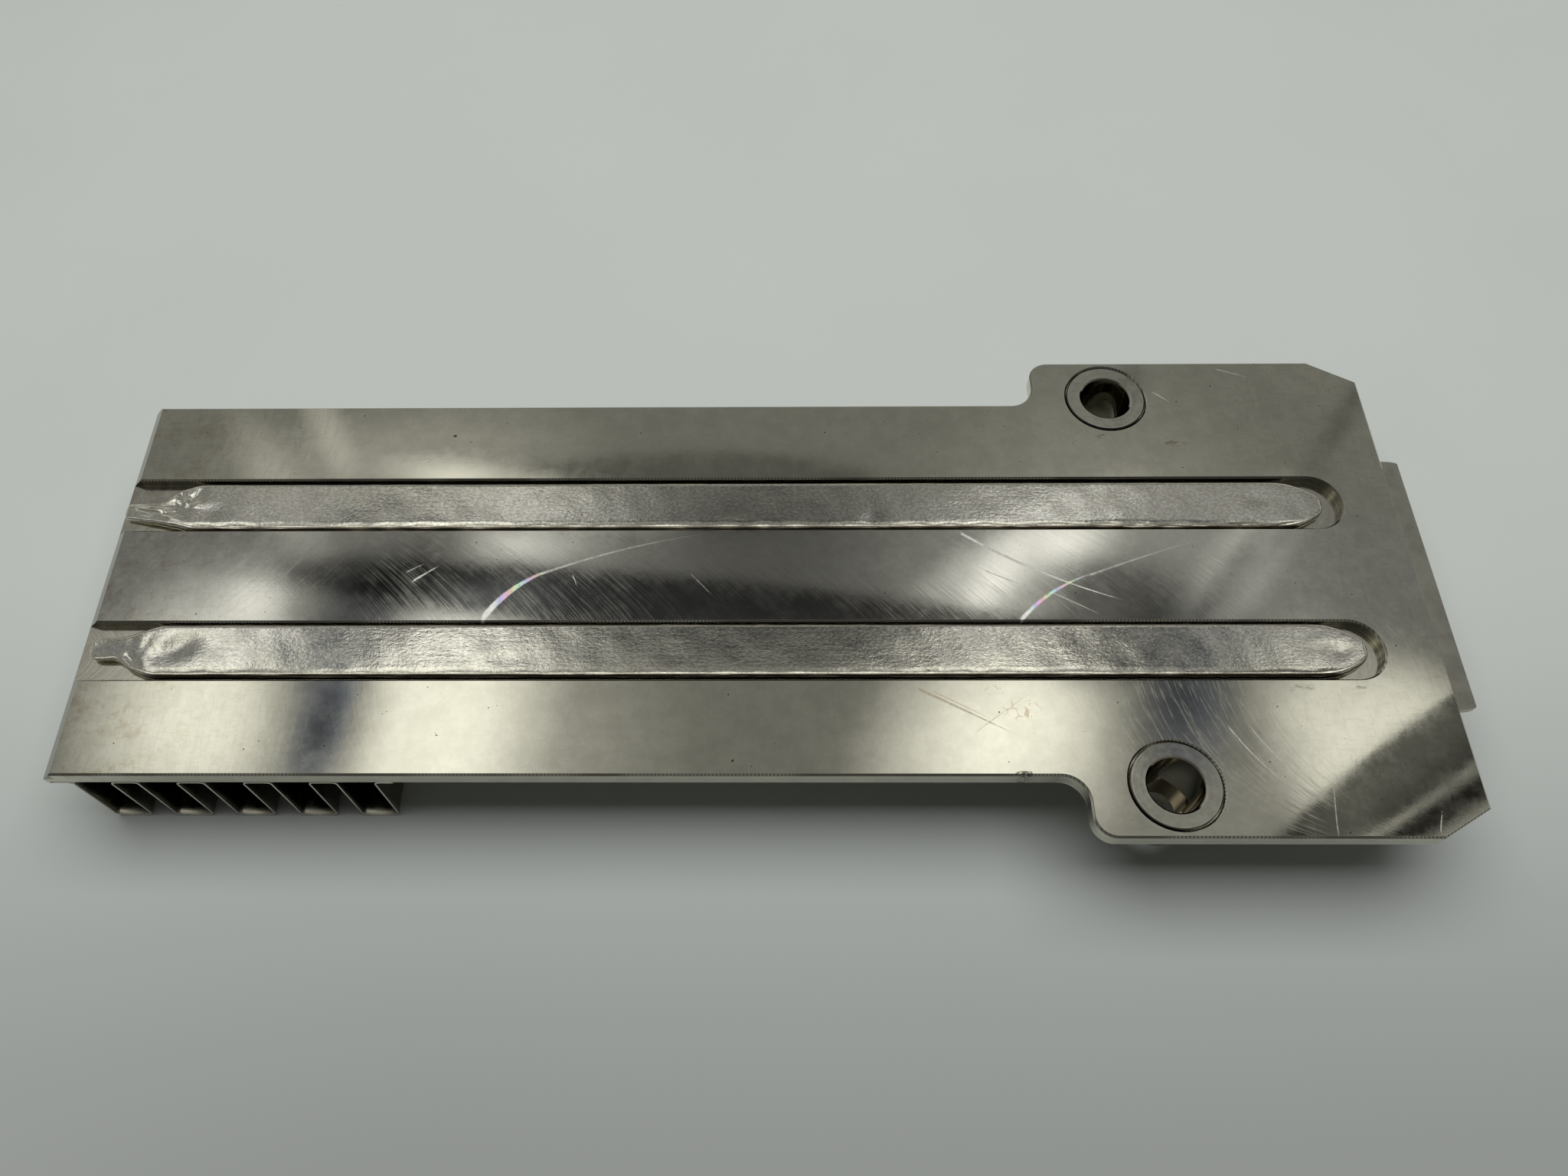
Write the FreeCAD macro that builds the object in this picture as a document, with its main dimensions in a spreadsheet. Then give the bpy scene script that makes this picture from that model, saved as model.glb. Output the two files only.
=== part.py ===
"""Heat pipe heatsink: a milled plate with two flattened heat pipes, a folded fin and a contact block.

Frame: millimetres. The origin is the middle of the contact face, midway between the two screw cups.
+X runs along the pipes towards the rounded ends of their grooves, +Y to the rear cup, and +Z up through
the plate, whose grooved face is on top. The contact face and the folds of the fin both lie at Z = 0.
"""
import FreeCAD, Part

import math
import os
import re

import Sketcher

os.makedirs("parts", exist_ok=True)
doc = FreeCAD.newDocument("heat_pipe_heatsink")

# Driving dimensions, in millimetres unless a line says otherwise
SIZES = {
    "standoff": (13.4, "contact face up to the underside of the plate"),
    "plate_length": (190.77, "plate, over all along X"),
    "plate_thick": (2.6, "plate thickness"),
    "plate_right": (40.0, "screw line to the right end of the plate"),
    "narrow_width": (61.6, "plate width left of the ears"),
    "ear_depth": (8.4, "each ear, out from the long edge of the plate"),
    "ear_reach": (11.45, "screw line to the left side of the ears"),
    "ear_corner_radius": (3.0, "outer corner of each ear"),
    "ear_root_radius": (3.5, "inner corner where the ear leaves the plate"),
    "corner_cut_along": (7.0, "right-hand corner cuts, along X"),
    "corner_cut_across": (4.0, "right-hand corner cuts, along Y"),
    "left_corner_radius": (0.45, "rear left corner"),
    "end_bevel": (1.5, "45 degree bevel of the left end"),
    "edge_break": (0.3, "chamfer round the top edge of the plate"),
    "recess_break": (0.25, "chamfer round the grooves and the cup seats"),
    "pipe_spacing": (24.5, "groove centre to groove centre"),
    "pipe_width": (8.55, "flattened heat pipe, across"),
    "pipe_thick": (1.45, "flattened heat pipe, through"),
    "pipe_edge_flat": (0.05, "flat left at the middle of the rounded side of a pipe"),
    "pipe_side_gap": (0.225, "pipe to groove wall, each side, when it is centred"),
    "pipe_recess": (0.05, "top of a pipe below the top of the plate"),
    "groove_end_gap": (7.75, "end of a groove to the right end of the plate"),
    "nose_length": (7.5, "rounded end of a pipe, from full width to its tip"),
    "nose_tip_radius": (2.6, "blunt tip of that rounded end"),
    "rear_nose_gap": (2.85, "rear pipe's tip to the end of its groove"),
    "rear_pipe_shift": (-0.2, "rear pipe off the middle of its groove, along Y"),
    "front_nose_gap": (2.25, "front pipe's tip to the end of its groove"),
    "front_pipe_shift": (0.11, "front pipe off the middle of its groove, along Y"),
    "tail_start": (11.2, "left end of the plate to where a pipe has its full width"),
    "tail_corner_radius": (1.0, "corners of a pinched tail"),
    "rear_tail_drop": (0.5, "rear tail, thinned from above at its tip"),
    "rear_tail_ramp": (7.5, "length of that thinning"),
    "front_tail_lift": (0.4, "front tail, lifted off the groove floor"),
    "front_tail_ramp": (7.0, "length of that lift"),
    "cup_inset": (7.17, "cup centre in from the outer side of its ear"),
    "cup_flange_diameter": (12.1, "cup flange"),
    "cup_flange_thick": (1.2, "cup flange thickness"),
    "cup_barrel_diameter": (9.0, "cup barrel"),
    "cup_depth": (12.0, "cup, top to bottom"),
    "cup_bore_diameter": (7.6, "spring pocket in the cup"),
    "cup_bore_depth": (10.3, "depth of that pocket"),
    "cup_hole_diameter": (5.4, "screw hole in the end wall of the cup"),
    "cup_mouth_break": (0.25, "chamfer at the mouth of the pocket"),
    "cup_edge_break": (0.15, "chamfer on the outer edges of the cup"),
    "seat_gap": (0.15, "cup flange to the wall of its seat"),
    "barrel_gap": (0.02, "cup barrel to its hole"),
    "sheet_thick": (0.25, "sheet of the folded fin"),
    "fold_count": (5, "downward folds of the fin, a number"),
    "fold_pitch": (8.94, "fold to fold"),
    "fold_width": (5.27, "one downward fold, wall middle to wall middle"),
    "fold_radius": (0.7, "bends of the fin, at the middle of the sheet"),
    "fold_belly_radius": (7.5, "bottoms of the folds, bellied downwards, at the middle of the sheet"),
    "first_fold": (3.27, "left end of the plate to the first wall of the fin"),
    "fin_left_tab": (2.9, "top flat of the fin left of the first wall"),
    "fin_right_tab": (2.5, "top flat of the fin right of the last wall"),
    "fin_overhang": (0.1, "fin past the long edges of the plate"),
    "flange_length": (87.9, "flange of the contact block, along X"),
    "flange_width": (41.7, "flange of the contact block, along Y"),
    "flange_thick": (1.0, "flange of the contact block"),
    "flange_ease_radius": (5.5, "ends of that flange, curving in towards its corners"),
    "flange_ease_reach": (1.9, "length of that curve, along X"),
    "flange_corner_radius": (0.3, "corners of that flange"),
    "block_length": (40.0, "contact block below its flange, along X"),
    "block_width": (34.0, "contact block below its flange, along Y"),
    "block_corner_radius": (2.0, "corners of the contact block"),
    "block_edge_break": (0.3, "chamfer round the contact face"),
    "block_shift": (0.6, "contact block off the middle of the plate, along Y"),
}

# Corners of the pinched tails: from the left end of the plate, and from the middle of the pipe
TAIL_CORNERS = {
    "rear_rear_hip": (8.0, 3.15),
    "rear_rear_waist": (6.2, 1.05),
    "rear_rear_end": (0.25, 0.85),
    "rear_front_end": (0.25, -1.75),
    "rear_front_waist": (6.0, -2.9),
    "rear_front_hip": (9.6, -3.75),
    "front_rear_hip": (8.6, 3.3),
    "front_rear_waist": (6.4, 2.3),
    "front_rear_end": (1.6, 1.9),
    "front_front_end": (1.6, -1.3),
    "front_front_waist": (5.9, -1.4),
    "front_front_hip": (8.1, -3.1),
}

for corner, (along, across) in TAIL_CORNERS.items():
    SIZES[corner + "_along"] = (along, "corner of a pinched tail, along X")
    SIZES[corner + "_across"] = (across, "corner of a pinched tail, along Y")

sheet = doc.addObject("Spreadsheet::Sheet", "Sizes")
for row, (alias, (amount, meaning)) in enumerate(SIZES.items(), start=1):
    sheet.set(f"A{row}", meaning)
    sheet.set(f"B{row}", str(amount))
    sheet.setAlias(f"B{row}", alias)
doc.recompute()

# Levels and places that several pieces share, as expressions of the sheet
UNDERSIDE = "standoff"
TOP = "(standoff + plate_thick)"
LEFT_END = "(plate_right - plate_length)"
GROOVE_DEPTH = "(pipe_thick + pipe_recess)"
GROOVE_FLOOR = f"({TOP} - {GROOVE_DEPTH})"
GROOVE_HALF = "(pipe_width / 2 + pipe_side_gap)"
GROOVE_END = "(plate_right - groove_end_gap)"
SEAT_FLOOR = f"({TOP} - cup_flange_thick)"
REAR_GROOVE = "(pipe_spacing / 2)"
FRONT_GROOVE = "(-pipe_spacing / 2)"
NARROW_HALF = "(narrow_width / 2)"
EAR_HALF = f"({NARROW_HALF} + ear_depth)"
REAR_CUP = f"({EAR_HALF} - cup_inset)"
FRONT_CUP = f"(cup_inset - {EAR_HALF})"
CLEAR = "plate_thick"

WORD = re.compile(r"\b[a-z]+(?:_[a-z]+)*\b")
SAME = 1e-6


def bound(expression):
    """The expression with every size read from the sheet."""
    return WORD.sub(lambda word: "Sizes." + word[0] if word[0] in SIZES else word[0], expression)


def number(expression):
    """The expression's value now."""
    return float(sheet.evalExpression(expression))


def make_body(name):
    """A body whose label names its piece."""
    body = doc.addObject("PartDesign::Body", name)
    body.Label = name
    return body


def make_sketch(body, name, role, lift=None):
    """A sketch on one of the body's own planes, lifted along its normal."""
    sketch = body.newObject("Sketcher::SketchObject", name)
    plane = next(item for item in body.Origin.OriginFeatures if item.Role == role)
    sketch.AttachmentSupport = [(plane, "")]
    sketch.MapMode = "FlatFace"
    if lift:
        sketch.setExpression("AttachmentOffset.Base.z", bound(lift))
    doc.recompute()
    return sketch


def rounded(corners):
    """Corners (x, y, radius or None), whose sides are square to each other where they have a radius,
    as the joints (x, y) and the arc centres between them (None for a straight run)."""
    places = [FreeCAD.Vector(number(x), number(y), 0) for x, y, _ in corners]
    joints = []
    for index, (x, y, radius) in enumerate(corners):
        if radius is None:
            joints.append((x, y, None))
            continue
        here = places[index]
        before = (here - places[index - 1]).normalize()
        after = (places[(index + 1) % len(places)] - here).normalize()
        start = (f"{x} - {radius} * {round(before.x)}", f"{y} - {radius} * {round(before.y)}")
        end = (f"{x} + {radius} * {round(after.x)}", f"{y} + {radius} * {round(after.y)}")
        centre = (
            f"{x} + {radius} * {round(after.x) - round(before.x)}",
            f"{y} + {radius} * {round(after.y) - round(before.y)}",
        )
        joints.append((*start, None))
        joints.append((*end, centre))
    return joints


def trace(sketch, joints, closed=True):
    """Draw a chain of lines and arcs and tie every joint to the sheet.

    A joint is (x, y, centre of the arc that leads to it, or None for a line).
    """
    points = [FreeCAD.Vector(number(x), number(y), 0) for x, y, _ in joints]
    runs = []
    for index in range(0 if closed else 1, len(joints)):
        start, end = points[index - 1], points[index]
        if (end - start).Length < SAME:
            continue
        centre = joints[index][2]
        if centre is None:
            geometry = Part.LineSegment(start, end)
            first, last = 1, 2
        else:
            middle = FreeCAD.Vector(number(centre[0]), number(centre[1]), 0)
            counter_clockwise = (start - middle).cross(end - middle).z > 0
            first, last = (1, 2) if counter_clockwise else (2, 1)
            ordered = (start, end) if counter_clockwise else (end, start)
            angles = [math.atan2((p - middle).y, (p - middle).x) for p in ordered]
            circle = Part.Circle(middle, FreeCAD.Vector(0, 0, 1), (start - middle).Length)
            geometry = Part.ArcOfCircle(circle, *angles)
        runs.append((sketch.addGeometry(geometry), first, last, index))

    constraints = []
    expressions = []

    def fix(kind, geometry, end, expression):
        constraints.append(Sketcher.Constraint(kind, -1, 1, geometry, end, number(expression)))
        expressions.append((len(constraints) - 1, expression))

    for place, (geometry, first, last, index) in enumerate(runs):
        if place == 0 and not closed:
            fix("DistanceX", geometry, first, joints[index - 1][0])
            fix("DistanceY", geometry, first, joints[index - 1][1])
        fix("DistanceX", geometry, last, joints[index][0])
        fix("DistanceY", geometry, last, joints[index][1])
        if place or closed:
            earlier = runs[place - 1]
            constraints.append(Sketcher.Constraint("Coincident", earlier[0], earlier[2], geometry, first))
        centre = joints[index][2]
        if centre is not None:
            chord = points[index] - points[index - 1]
            if abs(chord.y) >= abs(chord.x):
                fix("DistanceX", geometry, 3, centre[0])
            else:
                fix("DistanceY", geometry, 3, centre[1])
    sketch.addConstraint(constraints)
    for place, expression in expressions:
        sketch.setExpression(f"Constraints[{place}]", bound(expression))
    doc.recompute()


def circle(sketch, x, y, radius):
    """A circle tied to the sheet."""
    middle = FreeCAD.Vector(number(x), number(y), 0)
    geometry = sketch.addGeometry(Part.Circle(middle, FreeCAD.Vector(0, 0, 1), number(radius)))
    sketch.addConstraint([
        Sketcher.Constraint("DistanceX", -1, 1, geometry, 3, number(x)),
        Sketcher.Constraint("DistanceY", -1, 1, geometry, 3, number(y)),
        Sketcher.Constraint("Radius", geometry, number(radius)),
    ])
    for place, expression in enumerate((x, y, radius), start=sketch.ConstraintCount - 3):
        sketch.setExpression(f"Constraints[{place}]", bound(expression))
    doc.recompute()


def pad(body, name, sketch, length):
    """Material along the sketch's normal."""
    feature = body.newObject("PartDesign::Pad", name)
    feature.Profile = sketch
    feature.setExpression("Length", bound(length))
    sketch.Visibility = False
    doc.recompute()
    return feature


def pocket(body, name, sketch, depth, both_ways=False):
    """A cut against the sketch's normal, or both ways along it, which must take material away."""
    before = body.Shape.Volume
    feature = body.newObject("PartDesign::Pocket", name)
    feature.Profile = sketch
    feature.setExpression("Length", bound(depth))
    feature.Midplane = both_ways
    sketch.Visibility = False
    doc.recompute()
    if not body.Shape.Volume < before - SAME:
        raise RuntimeError(name + " cuts nothing")
    return feature


def dress(body, kind, name, size_name, size, wanted):
    """A chamfer or fillet on the edges of the body that wanted(edge) picks."""
    base = body.Tip
    edges = [f"Edge{index}" for index, edge in enumerate(base.Shape.Edges, start=1) if wanted(edge)]
    if not edges:
        raise RuntimeError(name + " finds no edge")
    feature = body.newObject(kind, name)
    feature.Base = (base, edges)
    feature.setExpression(size_name, bound(size))
    base.Visibility = False
    doc.recompute()
    return feature


def chamfer(body, name, size, wanted):
    """A 45 degree edge break."""
    return dress(body, "PartDesign::Chamfer", name, "Size", size, wanted)


def fillet(body, name, radius, wanted):
    """A rounded edge."""
    return dress(body, "PartDesign::Fillet", name, "Radius", radius, wanted)


def level(edge, z):
    """Whether the whole edge lies at this height."""
    box = edge.BoundBox
    return abs(box.ZMin - z) < SAME and abs(box.ZMax - z) < SAME


def upright(edge):
    """Whether the edge is a straight line along Z."""
    box = edge.BoundBox
    return box.XLength < SAME and box.YLength < SAME


def milled_plate():
    """The base plate: outline, bevelled end, two grooves and two cup seats."""
    body = make_body("base_plate")
    outline = make_sketch(body, "plate_outline", "XY_Plane", UNDERSIDE)
    trace(outline, rounded([
        (LEFT_END, f"-{NARROW_HALF}", None),
        ("-ear_reach", f"-{NARROW_HALF}", "ear_root_radius"),
        ("-ear_reach", f"-{EAR_HALF}", "ear_corner_radius"),
        ("plate_right - corner_cut_along", f"-{EAR_HALF}", None),
        ("plate_right", f"corner_cut_across - {EAR_HALF}", None),
        ("plate_right", f"{EAR_HALF} - corner_cut_across", None),
        ("plate_right - corner_cut_along", EAR_HALF, None),
        ("-ear_reach", EAR_HALF, "ear_corner_radius"),
        ("-ear_reach", NARROW_HALF, "ear_root_radius"),
        (LEFT_END, NARROW_HALF, "left_corner_radius"),
    ]))
    pad(body, "plate_blank", outline, "plate_thick")

    bevel = make_sketch(body, "end_bevel_outline", "XZ_Plane")
    trace(bevel, [
        (f"{LEFT_END} - {CLEAR}", f"{TOP} - end_bevel - {CLEAR}", None),
        (f"{LEFT_END} + end_bevel + {CLEAR}", f"{TOP} + {CLEAR}", None),
        (f"{LEFT_END} - {CLEAR}", f"{TOP} + {CLEAR}", None),
    ])
    pocket(body, "plate_end_bevel", bevel, f"4 * {NARROW_HALF}", both_ways=True)

    top = number(TOP)
    bevel_top = number(f"{LEFT_END} + end_bevel")
    chamfer(
        body, "plate_edge_break", "edge_break",
        lambda edge: level(edge, top) and edge.BoundBox.XMax > bevel_top + SAME,
    )

    for side, middle in (("rear", REAR_GROOVE), ("front", FRONT_GROOVE)):
        groove = make_sketch(body, f"{side}_groove_outline", "XY_Plane", TOP)
        trace(groove, rounded([
            (f"{LEFT_END} - {CLEAR}", f"{middle} - {GROOVE_HALF}", None),
            (GROOVE_END, f"{middle} - {GROOVE_HALF}", GROOVE_HALF),
            (GROOVE_END, f"{middle} + {GROOVE_HALF}", GROOVE_HALF),
            (f"{LEFT_END} - {CLEAR}", f"{middle} + {GROOVE_HALF}", None),
        ]))
        pocket(body, f"{side}_groove", groove, GROOVE_DEPTH)
    for side, middle in (("rear", REAR_CUP), ("front", FRONT_CUP)):
        seat = make_sketch(body, f"{side}_seat_outline", "XY_Plane", TOP)
        circle(seat, "0", middle, "cup_flange_diameter / 2 + seat_gap")
        pocket(body, f"{side}_seat", seat, "cup_flange_thick")
        hole = make_sketch(body, f"{side}_hole_outline", "XY_Plane", SEAT_FLOOR)
        circle(hole, "0", middle, "cup_barrel_diameter / 2 + barrel_gap")
        pocket(body, f"{side}_hole", hole, "plate_thick")

    half = number(f"{NARROW_HALF} - edge_break")
    inner = number("plate_right") - number("groove_end_gap") + SAME

    def recess_edge(edge):
        box = edge.BoundBox
        in_groove = box.XMax < inner and max(abs(box.YMin), abs(box.YMax)) < half - SAME
        in_seat = abs(box.XMin + box.XMax) < SAME and box.XLength > SAME
        return level(edge, top) and (in_groove and box.XMin > bevel_top - SAME and box.XLength > SAME or in_seat)

    chamfer(body, "recess_edge_break", "recess_break", recess_edge)
    return body


def flattened_pipe(side):
    """One heat pipe, pressed flat: rounded sides, a rounded nose at the right, a pinched tail at the left."""
    body = make_body(f"heat_pipe_{side}")
    groove = REAR_GROOVE if side == "rear" else FRONT_GROOVE
    middle = f"({groove} + {side}_pipe_shift)"
    half = "(pipe_width / 2)"
    nose_start = f"({GROOVE_END} - {side}_nose_gap - nose_length)"
    reach = "(nose_length - nose_tip_radius)"
    flank = f"(({reach}^2 + {half}^2 - nose_tip_radius^2) / (2 * ({half} - nose_tip_radius)))"
    meet_along = f"({nose_start} + {reach} + nose_tip_radius * {reach} / ({flank} - nose_tip_radius))"
    meet_across = f"(nose_tip_radius * ({flank} - {half}) / ({flank} - nose_tip_radius))"

    def tail(corner):
        return f"{LEFT_END} + {side}_{corner}_along", f"{middle} + {side}_{corner}_across", None

    shoulder = f"{LEFT_END} + tail_start"
    outline = make_sketch(body, f"{side}_pipe_outline", "XY_Plane", GROOVE_FLOOR)
    trace(outline, [
        (shoulder, f"{middle} - {half}", None),
        (nose_start, f"{middle} - {half}", None),
        (meet_along, f"{middle} - {meet_across}", (nose_start, f"{middle} - {half} + {flank}")),
        (meet_along, f"{middle} + {meet_across}", (f"{nose_start} + {reach}", middle)),
        (nose_start, f"{middle} + {half}", (nose_start, f"{middle} + {half} - {flank}")),
        (shoulder, f"{middle} + {half}", None),
        tail("rear_hip"),
        tail("rear_waist"),
        tail("rear_end"),
        tail("front_end"),
        tail("front_waist"),
        tail("front_hip"),
    ])
    pad(body, f"{side}_pipe_blank", outline, "pipe_thick")
    tail_limit = number(shoulder) - SAME
    fillet(
        body, f"{side}_tail_corners", "tail_corner_radius",
        lambda edge: upright(edge) and edge.BoundBox.XMax < tail_limit,
    )
    fillet(
        body, f"{side}_pipe_sides", "pipe_thick / 2 - pipe_edge_flat",
        lambda edge: edge.BoundBox.ZLength < SAME,
    )

    thinning = make_sketch(body, f"{side}_tail_thinning_outline", "XZ_Plane")
    ramp = f"{LEFT_END} + {side}_tail_ramp"
    outside = f"{LEFT_END} - {CLEAR}"
    if side == "rear":
        pipe_top = f"{GROOVE_FLOOR} + pipe_thick"
        corners = [
            (outside, f"{pipe_top} - rear_tail_drop", None),
            (LEFT_END, f"{pipe_top} - rear_tail_drop", None),
            (ramp, pipe_top, None),
            (ramp, f"{pipe_top} + {CLEAR}", None),
            (outside, f"{pipe_top} + {CLEAR}", None),
        ]
    else:
        corners = [
            (outside, f"{GROOVE_FLOOR} - {CLEAR}", None),
            (ramp, f"{GROOVE_FLOOR} - {CLEAR}", None),
            (ramp, GROOVE_FLOOR, None),
            (f"{LEFT_END} + front_tail_ramp / 2", f"{GROOVE_FLOOR} + front_tail_lift", None),
            (outside, f"{GROOVE_FLOOR} + front_tail_lift", None),
        ]
    trace(thinning, corners)
    pocket(body, f"{side}_tail_thinning", thinning, "4 * pipe_spacing", both_ways=True)
    return body


def screw_cup(side):
    """A turned cup: a flange flush with the plate and a deep pocket for a spring screw."""
    body = make_body(f"screw_cup_{side}")
    profile = make_sketch(body, f"{side}_cup_profile", "XZ_Plane")
    bottom = f"({TOP} - cup_depth)"
    pocket_floor = f"({TOP} - cup_bore_depth)"
    hole = "cup_hole_diameter / 2"
    bore = "cup_bore_diameter / 2"
    barrel = "cup_barrel_diameter / 2"
    flange = "cup_flange_diameter / 2"
    trace(profile, [
        (hole, bottom, None),
        (f"{barrel} - cup_edge_break", bottom, None),
        (barrel, f"{bottom} + cup_edge_break", None),
        (barrel, SEAT_FLOOR, None),
        (flange, SEAT_FLOOR, None),
        (flange, f"{TOP} - cup_edge_break", None),
        (f"{flange} - cup_edge_break", TOP, None),
        (f"{bore} + cup_mouth_break", TOP, None),
        (bore, f"{TOP} - cup_mouth_break", None),
        (bore, pocket_floor, None),
        (hole, pocket_floor, None),
    ])
    turned = body.newObject("PartDesign::Revolution", f"{side}_cup_turned")
    turned.Profile = profile
    turned.ReferenceAxis = (profile, ["V_Axis"])
    turned.Angle = 360
    profile.Visibility = False
    body.setExpression("Placement.Base.y", bound(REAR_CUP if side == "rear" else FRONT_CUP))
    doc.recompute()
    return body


def folded_fin():
    """One strip of sheet folded into square waves: a flat profile carried along the line of the folds.

    The bottom of each fold bellies downwards: an arc that runs on from the two bends beside it.
    """
    body = make_body("folded_fin")
    high = f"({UNDERSIDE} - sheet_thick / 2)"
    low = "(sheet_thick / 2)"
    first = f"({LEFT_END} + first_fold)"
    half_flat = "(fold_width / 2 - fold_radius)"
    reach = "(fold_belly_radius - fold_radius)"
    drop = f"sqrt({reach}^2 - {half_flat}^2)"
    bend_height = f"({low} + fold_belly_radius - {drop})"
    meet_height = f"({low} + fold_belly_radius - fold_belly_radius * {drop} / {reach})"
    meet_across = f"(fold_belly_radius * {half_flat} / {reach})"

    joints = [(f"{first} - fin_left_tab", high, None)]
    for fold in range(round(number("fold_count"))):
        left = f"({first} + {fold} * fold_pitch)"
        right = f"({left} + fold_width)"
        middle = f"({left} + fold_width / 2)"
        joints += [
            (f"{left} - fold_radius", high, None),
            (left, f"{high} - fold_radius", (f"{left} - fold_radius", f"{high} - fold_radius")),
            (left, bend_height, None),
            (f"{middle} - {meet_across}", meet_height, (f"{left} + fold_radius", bend_height)),
            (f"{middle} + {meet_across}", meet_height, (middle, f"{low} + fold_belly_radius")),
            (right, bend_height, (f"{right} - fold_radius", bend_height)),
            (right, f"{high} - fold_radius", None),
            (f"{right} + fold_radius", high, (f"{right} + fold_radius", f"{high} - fold_radius")),
        ]
    joints.append((f"{right} + fin_right_tab", high, None))

    line = make_sketch(body, "fold_line", "XZ_Plane")
    trace(line, joints, closed=False)
    section = make_sketch(body, "fin_section", "YZ_Plane", f"{first} - fin_left_tab")
    half = f"({NARROW_HALF} + fin_overhang)"
    trace(section, [
        (f"-{half}", f"{UNDERSIDE} - sheet_thick", None),
        (half, f"{UNDERSIDE} - sheet_thick", None),
        (half, UNDERSIDE, None),
        (f"-{half}", UNDERSIDE, None),
    ])
    strip = body.newObject("PartDesign::AdditivePipe", "fin_strip")
    strip.Profile = section
    strip.Spine = (line, [f"Edge{index}" for index in range(1, len(line.Shape.Edges) + 1)])
    section.Visibility = False
    line.Visibility = False
    doc.recompute()
    return body


def contact_block():
    """The block that carries heat from the chip: a thin flange under the plate and the block below it."""
    body = make_body("contact_block")
    long = "(flange_length / 2)"
    wide = "(flange_width / 2)"
    bend = f"({long} - flange_ease_reach)"
    hub = f"({wide} - flange_ease_radius)"
    corner = f"({hub} + sqrt(flange_ease_radius^2 - flange_ease_reach^2))"
    flange = make_sketch(body, "flange_outline", "XY_Plane", f"{UNDERSIDE} - flange_thick")
    trace(flange, [
        (f"-{bend}", f"-{wide}", (f"-{bend}", f"-{hub}")),
        (bend, f"-{wide}", None),
        (long, f"-{corner}", (bend, f"-{hub}")),
        (long, corner, None),
        (bend, wide, (bend, hub)),
        (f"-{bend}", wide, None),
        (f"-{long}", corner, (f"-{bend}", hub)),
        (f"-{long}", f"-{corner}", None),
    ])
    pad(body, "flange_blank", flange, "flange_thick")
    fillet(
        body, "flange_corners", "flange_corner_radius",
        lambda edge: upright(edge) and abs(abs(edge.BoundBox.XMin) - number(long)) < SAME,
    )

    half_length = "(block_length / 2)"
    half_width = "(block_width / 2)"
    block = make_sketch(body, "block_outline", "XY_Plane", "0")
    trace(block, rounded([
        (f"-{half_length}", f"-{half_width}", "block_corner_radius"),
        (half_length, f"-{half_width}", "block_corner_radius"),
        (half_length, half_width, "block_corner_radius"),
        (f"-{half_length}", half_width, "block_corner_radius"),
    ]))
    pad(body, "block_blank", block, f"{UNDERSIDE} - flange_thick")
    chamfer(body, "contact_face_break", "block_edge_break", lambda edge: level(edge, 0))
    body.setExpression("Placement.Base.y", bound("block_shift"))
    doc.recompute()
    return body


pieces = [
    milled_plate(),
    flattened_pipe("rear"),
    flattened_pipe("front"),
    folded_fin(),
    screw_cup("rear"),
    screw_cup("front"),
    contact_block(),
]
doc.recompute()

for item in doc.Objects:
    if "Invalid" in item.State or "Error" in item.State:
        raise RuntimeError(f"{item.Name} failed: {item.State}")
for piece in pieces:
    if piece.Shape.isNull() or not piece.Shape.isValid() or len(piece.Shape.Solids) != 1:
        raise RuntimeError(f"{piece.Label} is not one sound solid")
for piece in pieces:
    piece.Shape.exportStep(f"parts/{piece.Label}.step")
    print(f"{piece.Label}: {piece.Shape.Volume:.1f} cubic mm")
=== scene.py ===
"""Looks of a heat pipe heatsink: milled plate, pressed heat pipes, folded fin, screw cups and block.

Every mesh is in metres in the frame of the CAD model. Sizes inside the classes are in millimetres, because
that is how the object was measured, and they turn into metres where a mesh is made.
"""

import enum
import logging
import math
from dataclasses import dataclass

import bpy
import numpy as np
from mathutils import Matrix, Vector


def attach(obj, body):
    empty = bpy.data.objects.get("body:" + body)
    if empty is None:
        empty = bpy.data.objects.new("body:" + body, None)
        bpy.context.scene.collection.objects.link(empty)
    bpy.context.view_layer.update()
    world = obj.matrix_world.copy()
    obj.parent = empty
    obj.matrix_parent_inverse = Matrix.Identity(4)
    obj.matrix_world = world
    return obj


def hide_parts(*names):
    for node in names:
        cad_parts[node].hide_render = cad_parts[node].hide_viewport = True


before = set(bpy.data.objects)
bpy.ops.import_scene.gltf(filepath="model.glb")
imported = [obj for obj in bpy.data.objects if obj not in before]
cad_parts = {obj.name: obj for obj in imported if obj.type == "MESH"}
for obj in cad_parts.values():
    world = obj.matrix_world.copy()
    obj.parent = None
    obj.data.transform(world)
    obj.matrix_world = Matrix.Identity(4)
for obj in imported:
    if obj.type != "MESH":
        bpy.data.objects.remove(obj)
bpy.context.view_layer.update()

MM = 0.001
BODY = "root"
# Width of the photograph in pixels, and where it was taken from in millimetres
PHOTO_WIDTH = 2048
EYE = (-54.47, -86.295, 163.70)
# Colour of the far table and of what lies past it
PALE = (0.5, 0.53, 0.5)
# How fast the noise of the tool marks changes along an arc, in features per millimetre
ARC_STRETCH = 0.06
# What a node takes: a number, a vector or colour, or another node's output
Feed = float | tuple[float, ...] | bpy.types.NodeSocket
log = logging.getLogger("heatsink")


class Slot(enum.Enum):
    """The record's material slots of the pieces that are made here."""

    PIPE = "pipe"
    FIN = "fin"


class Side(enum.Enum):
    """Which of two like pieces: the rear one lies towards +Y."""

    REAR = "rear"
    FRONT = "front"


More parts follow.
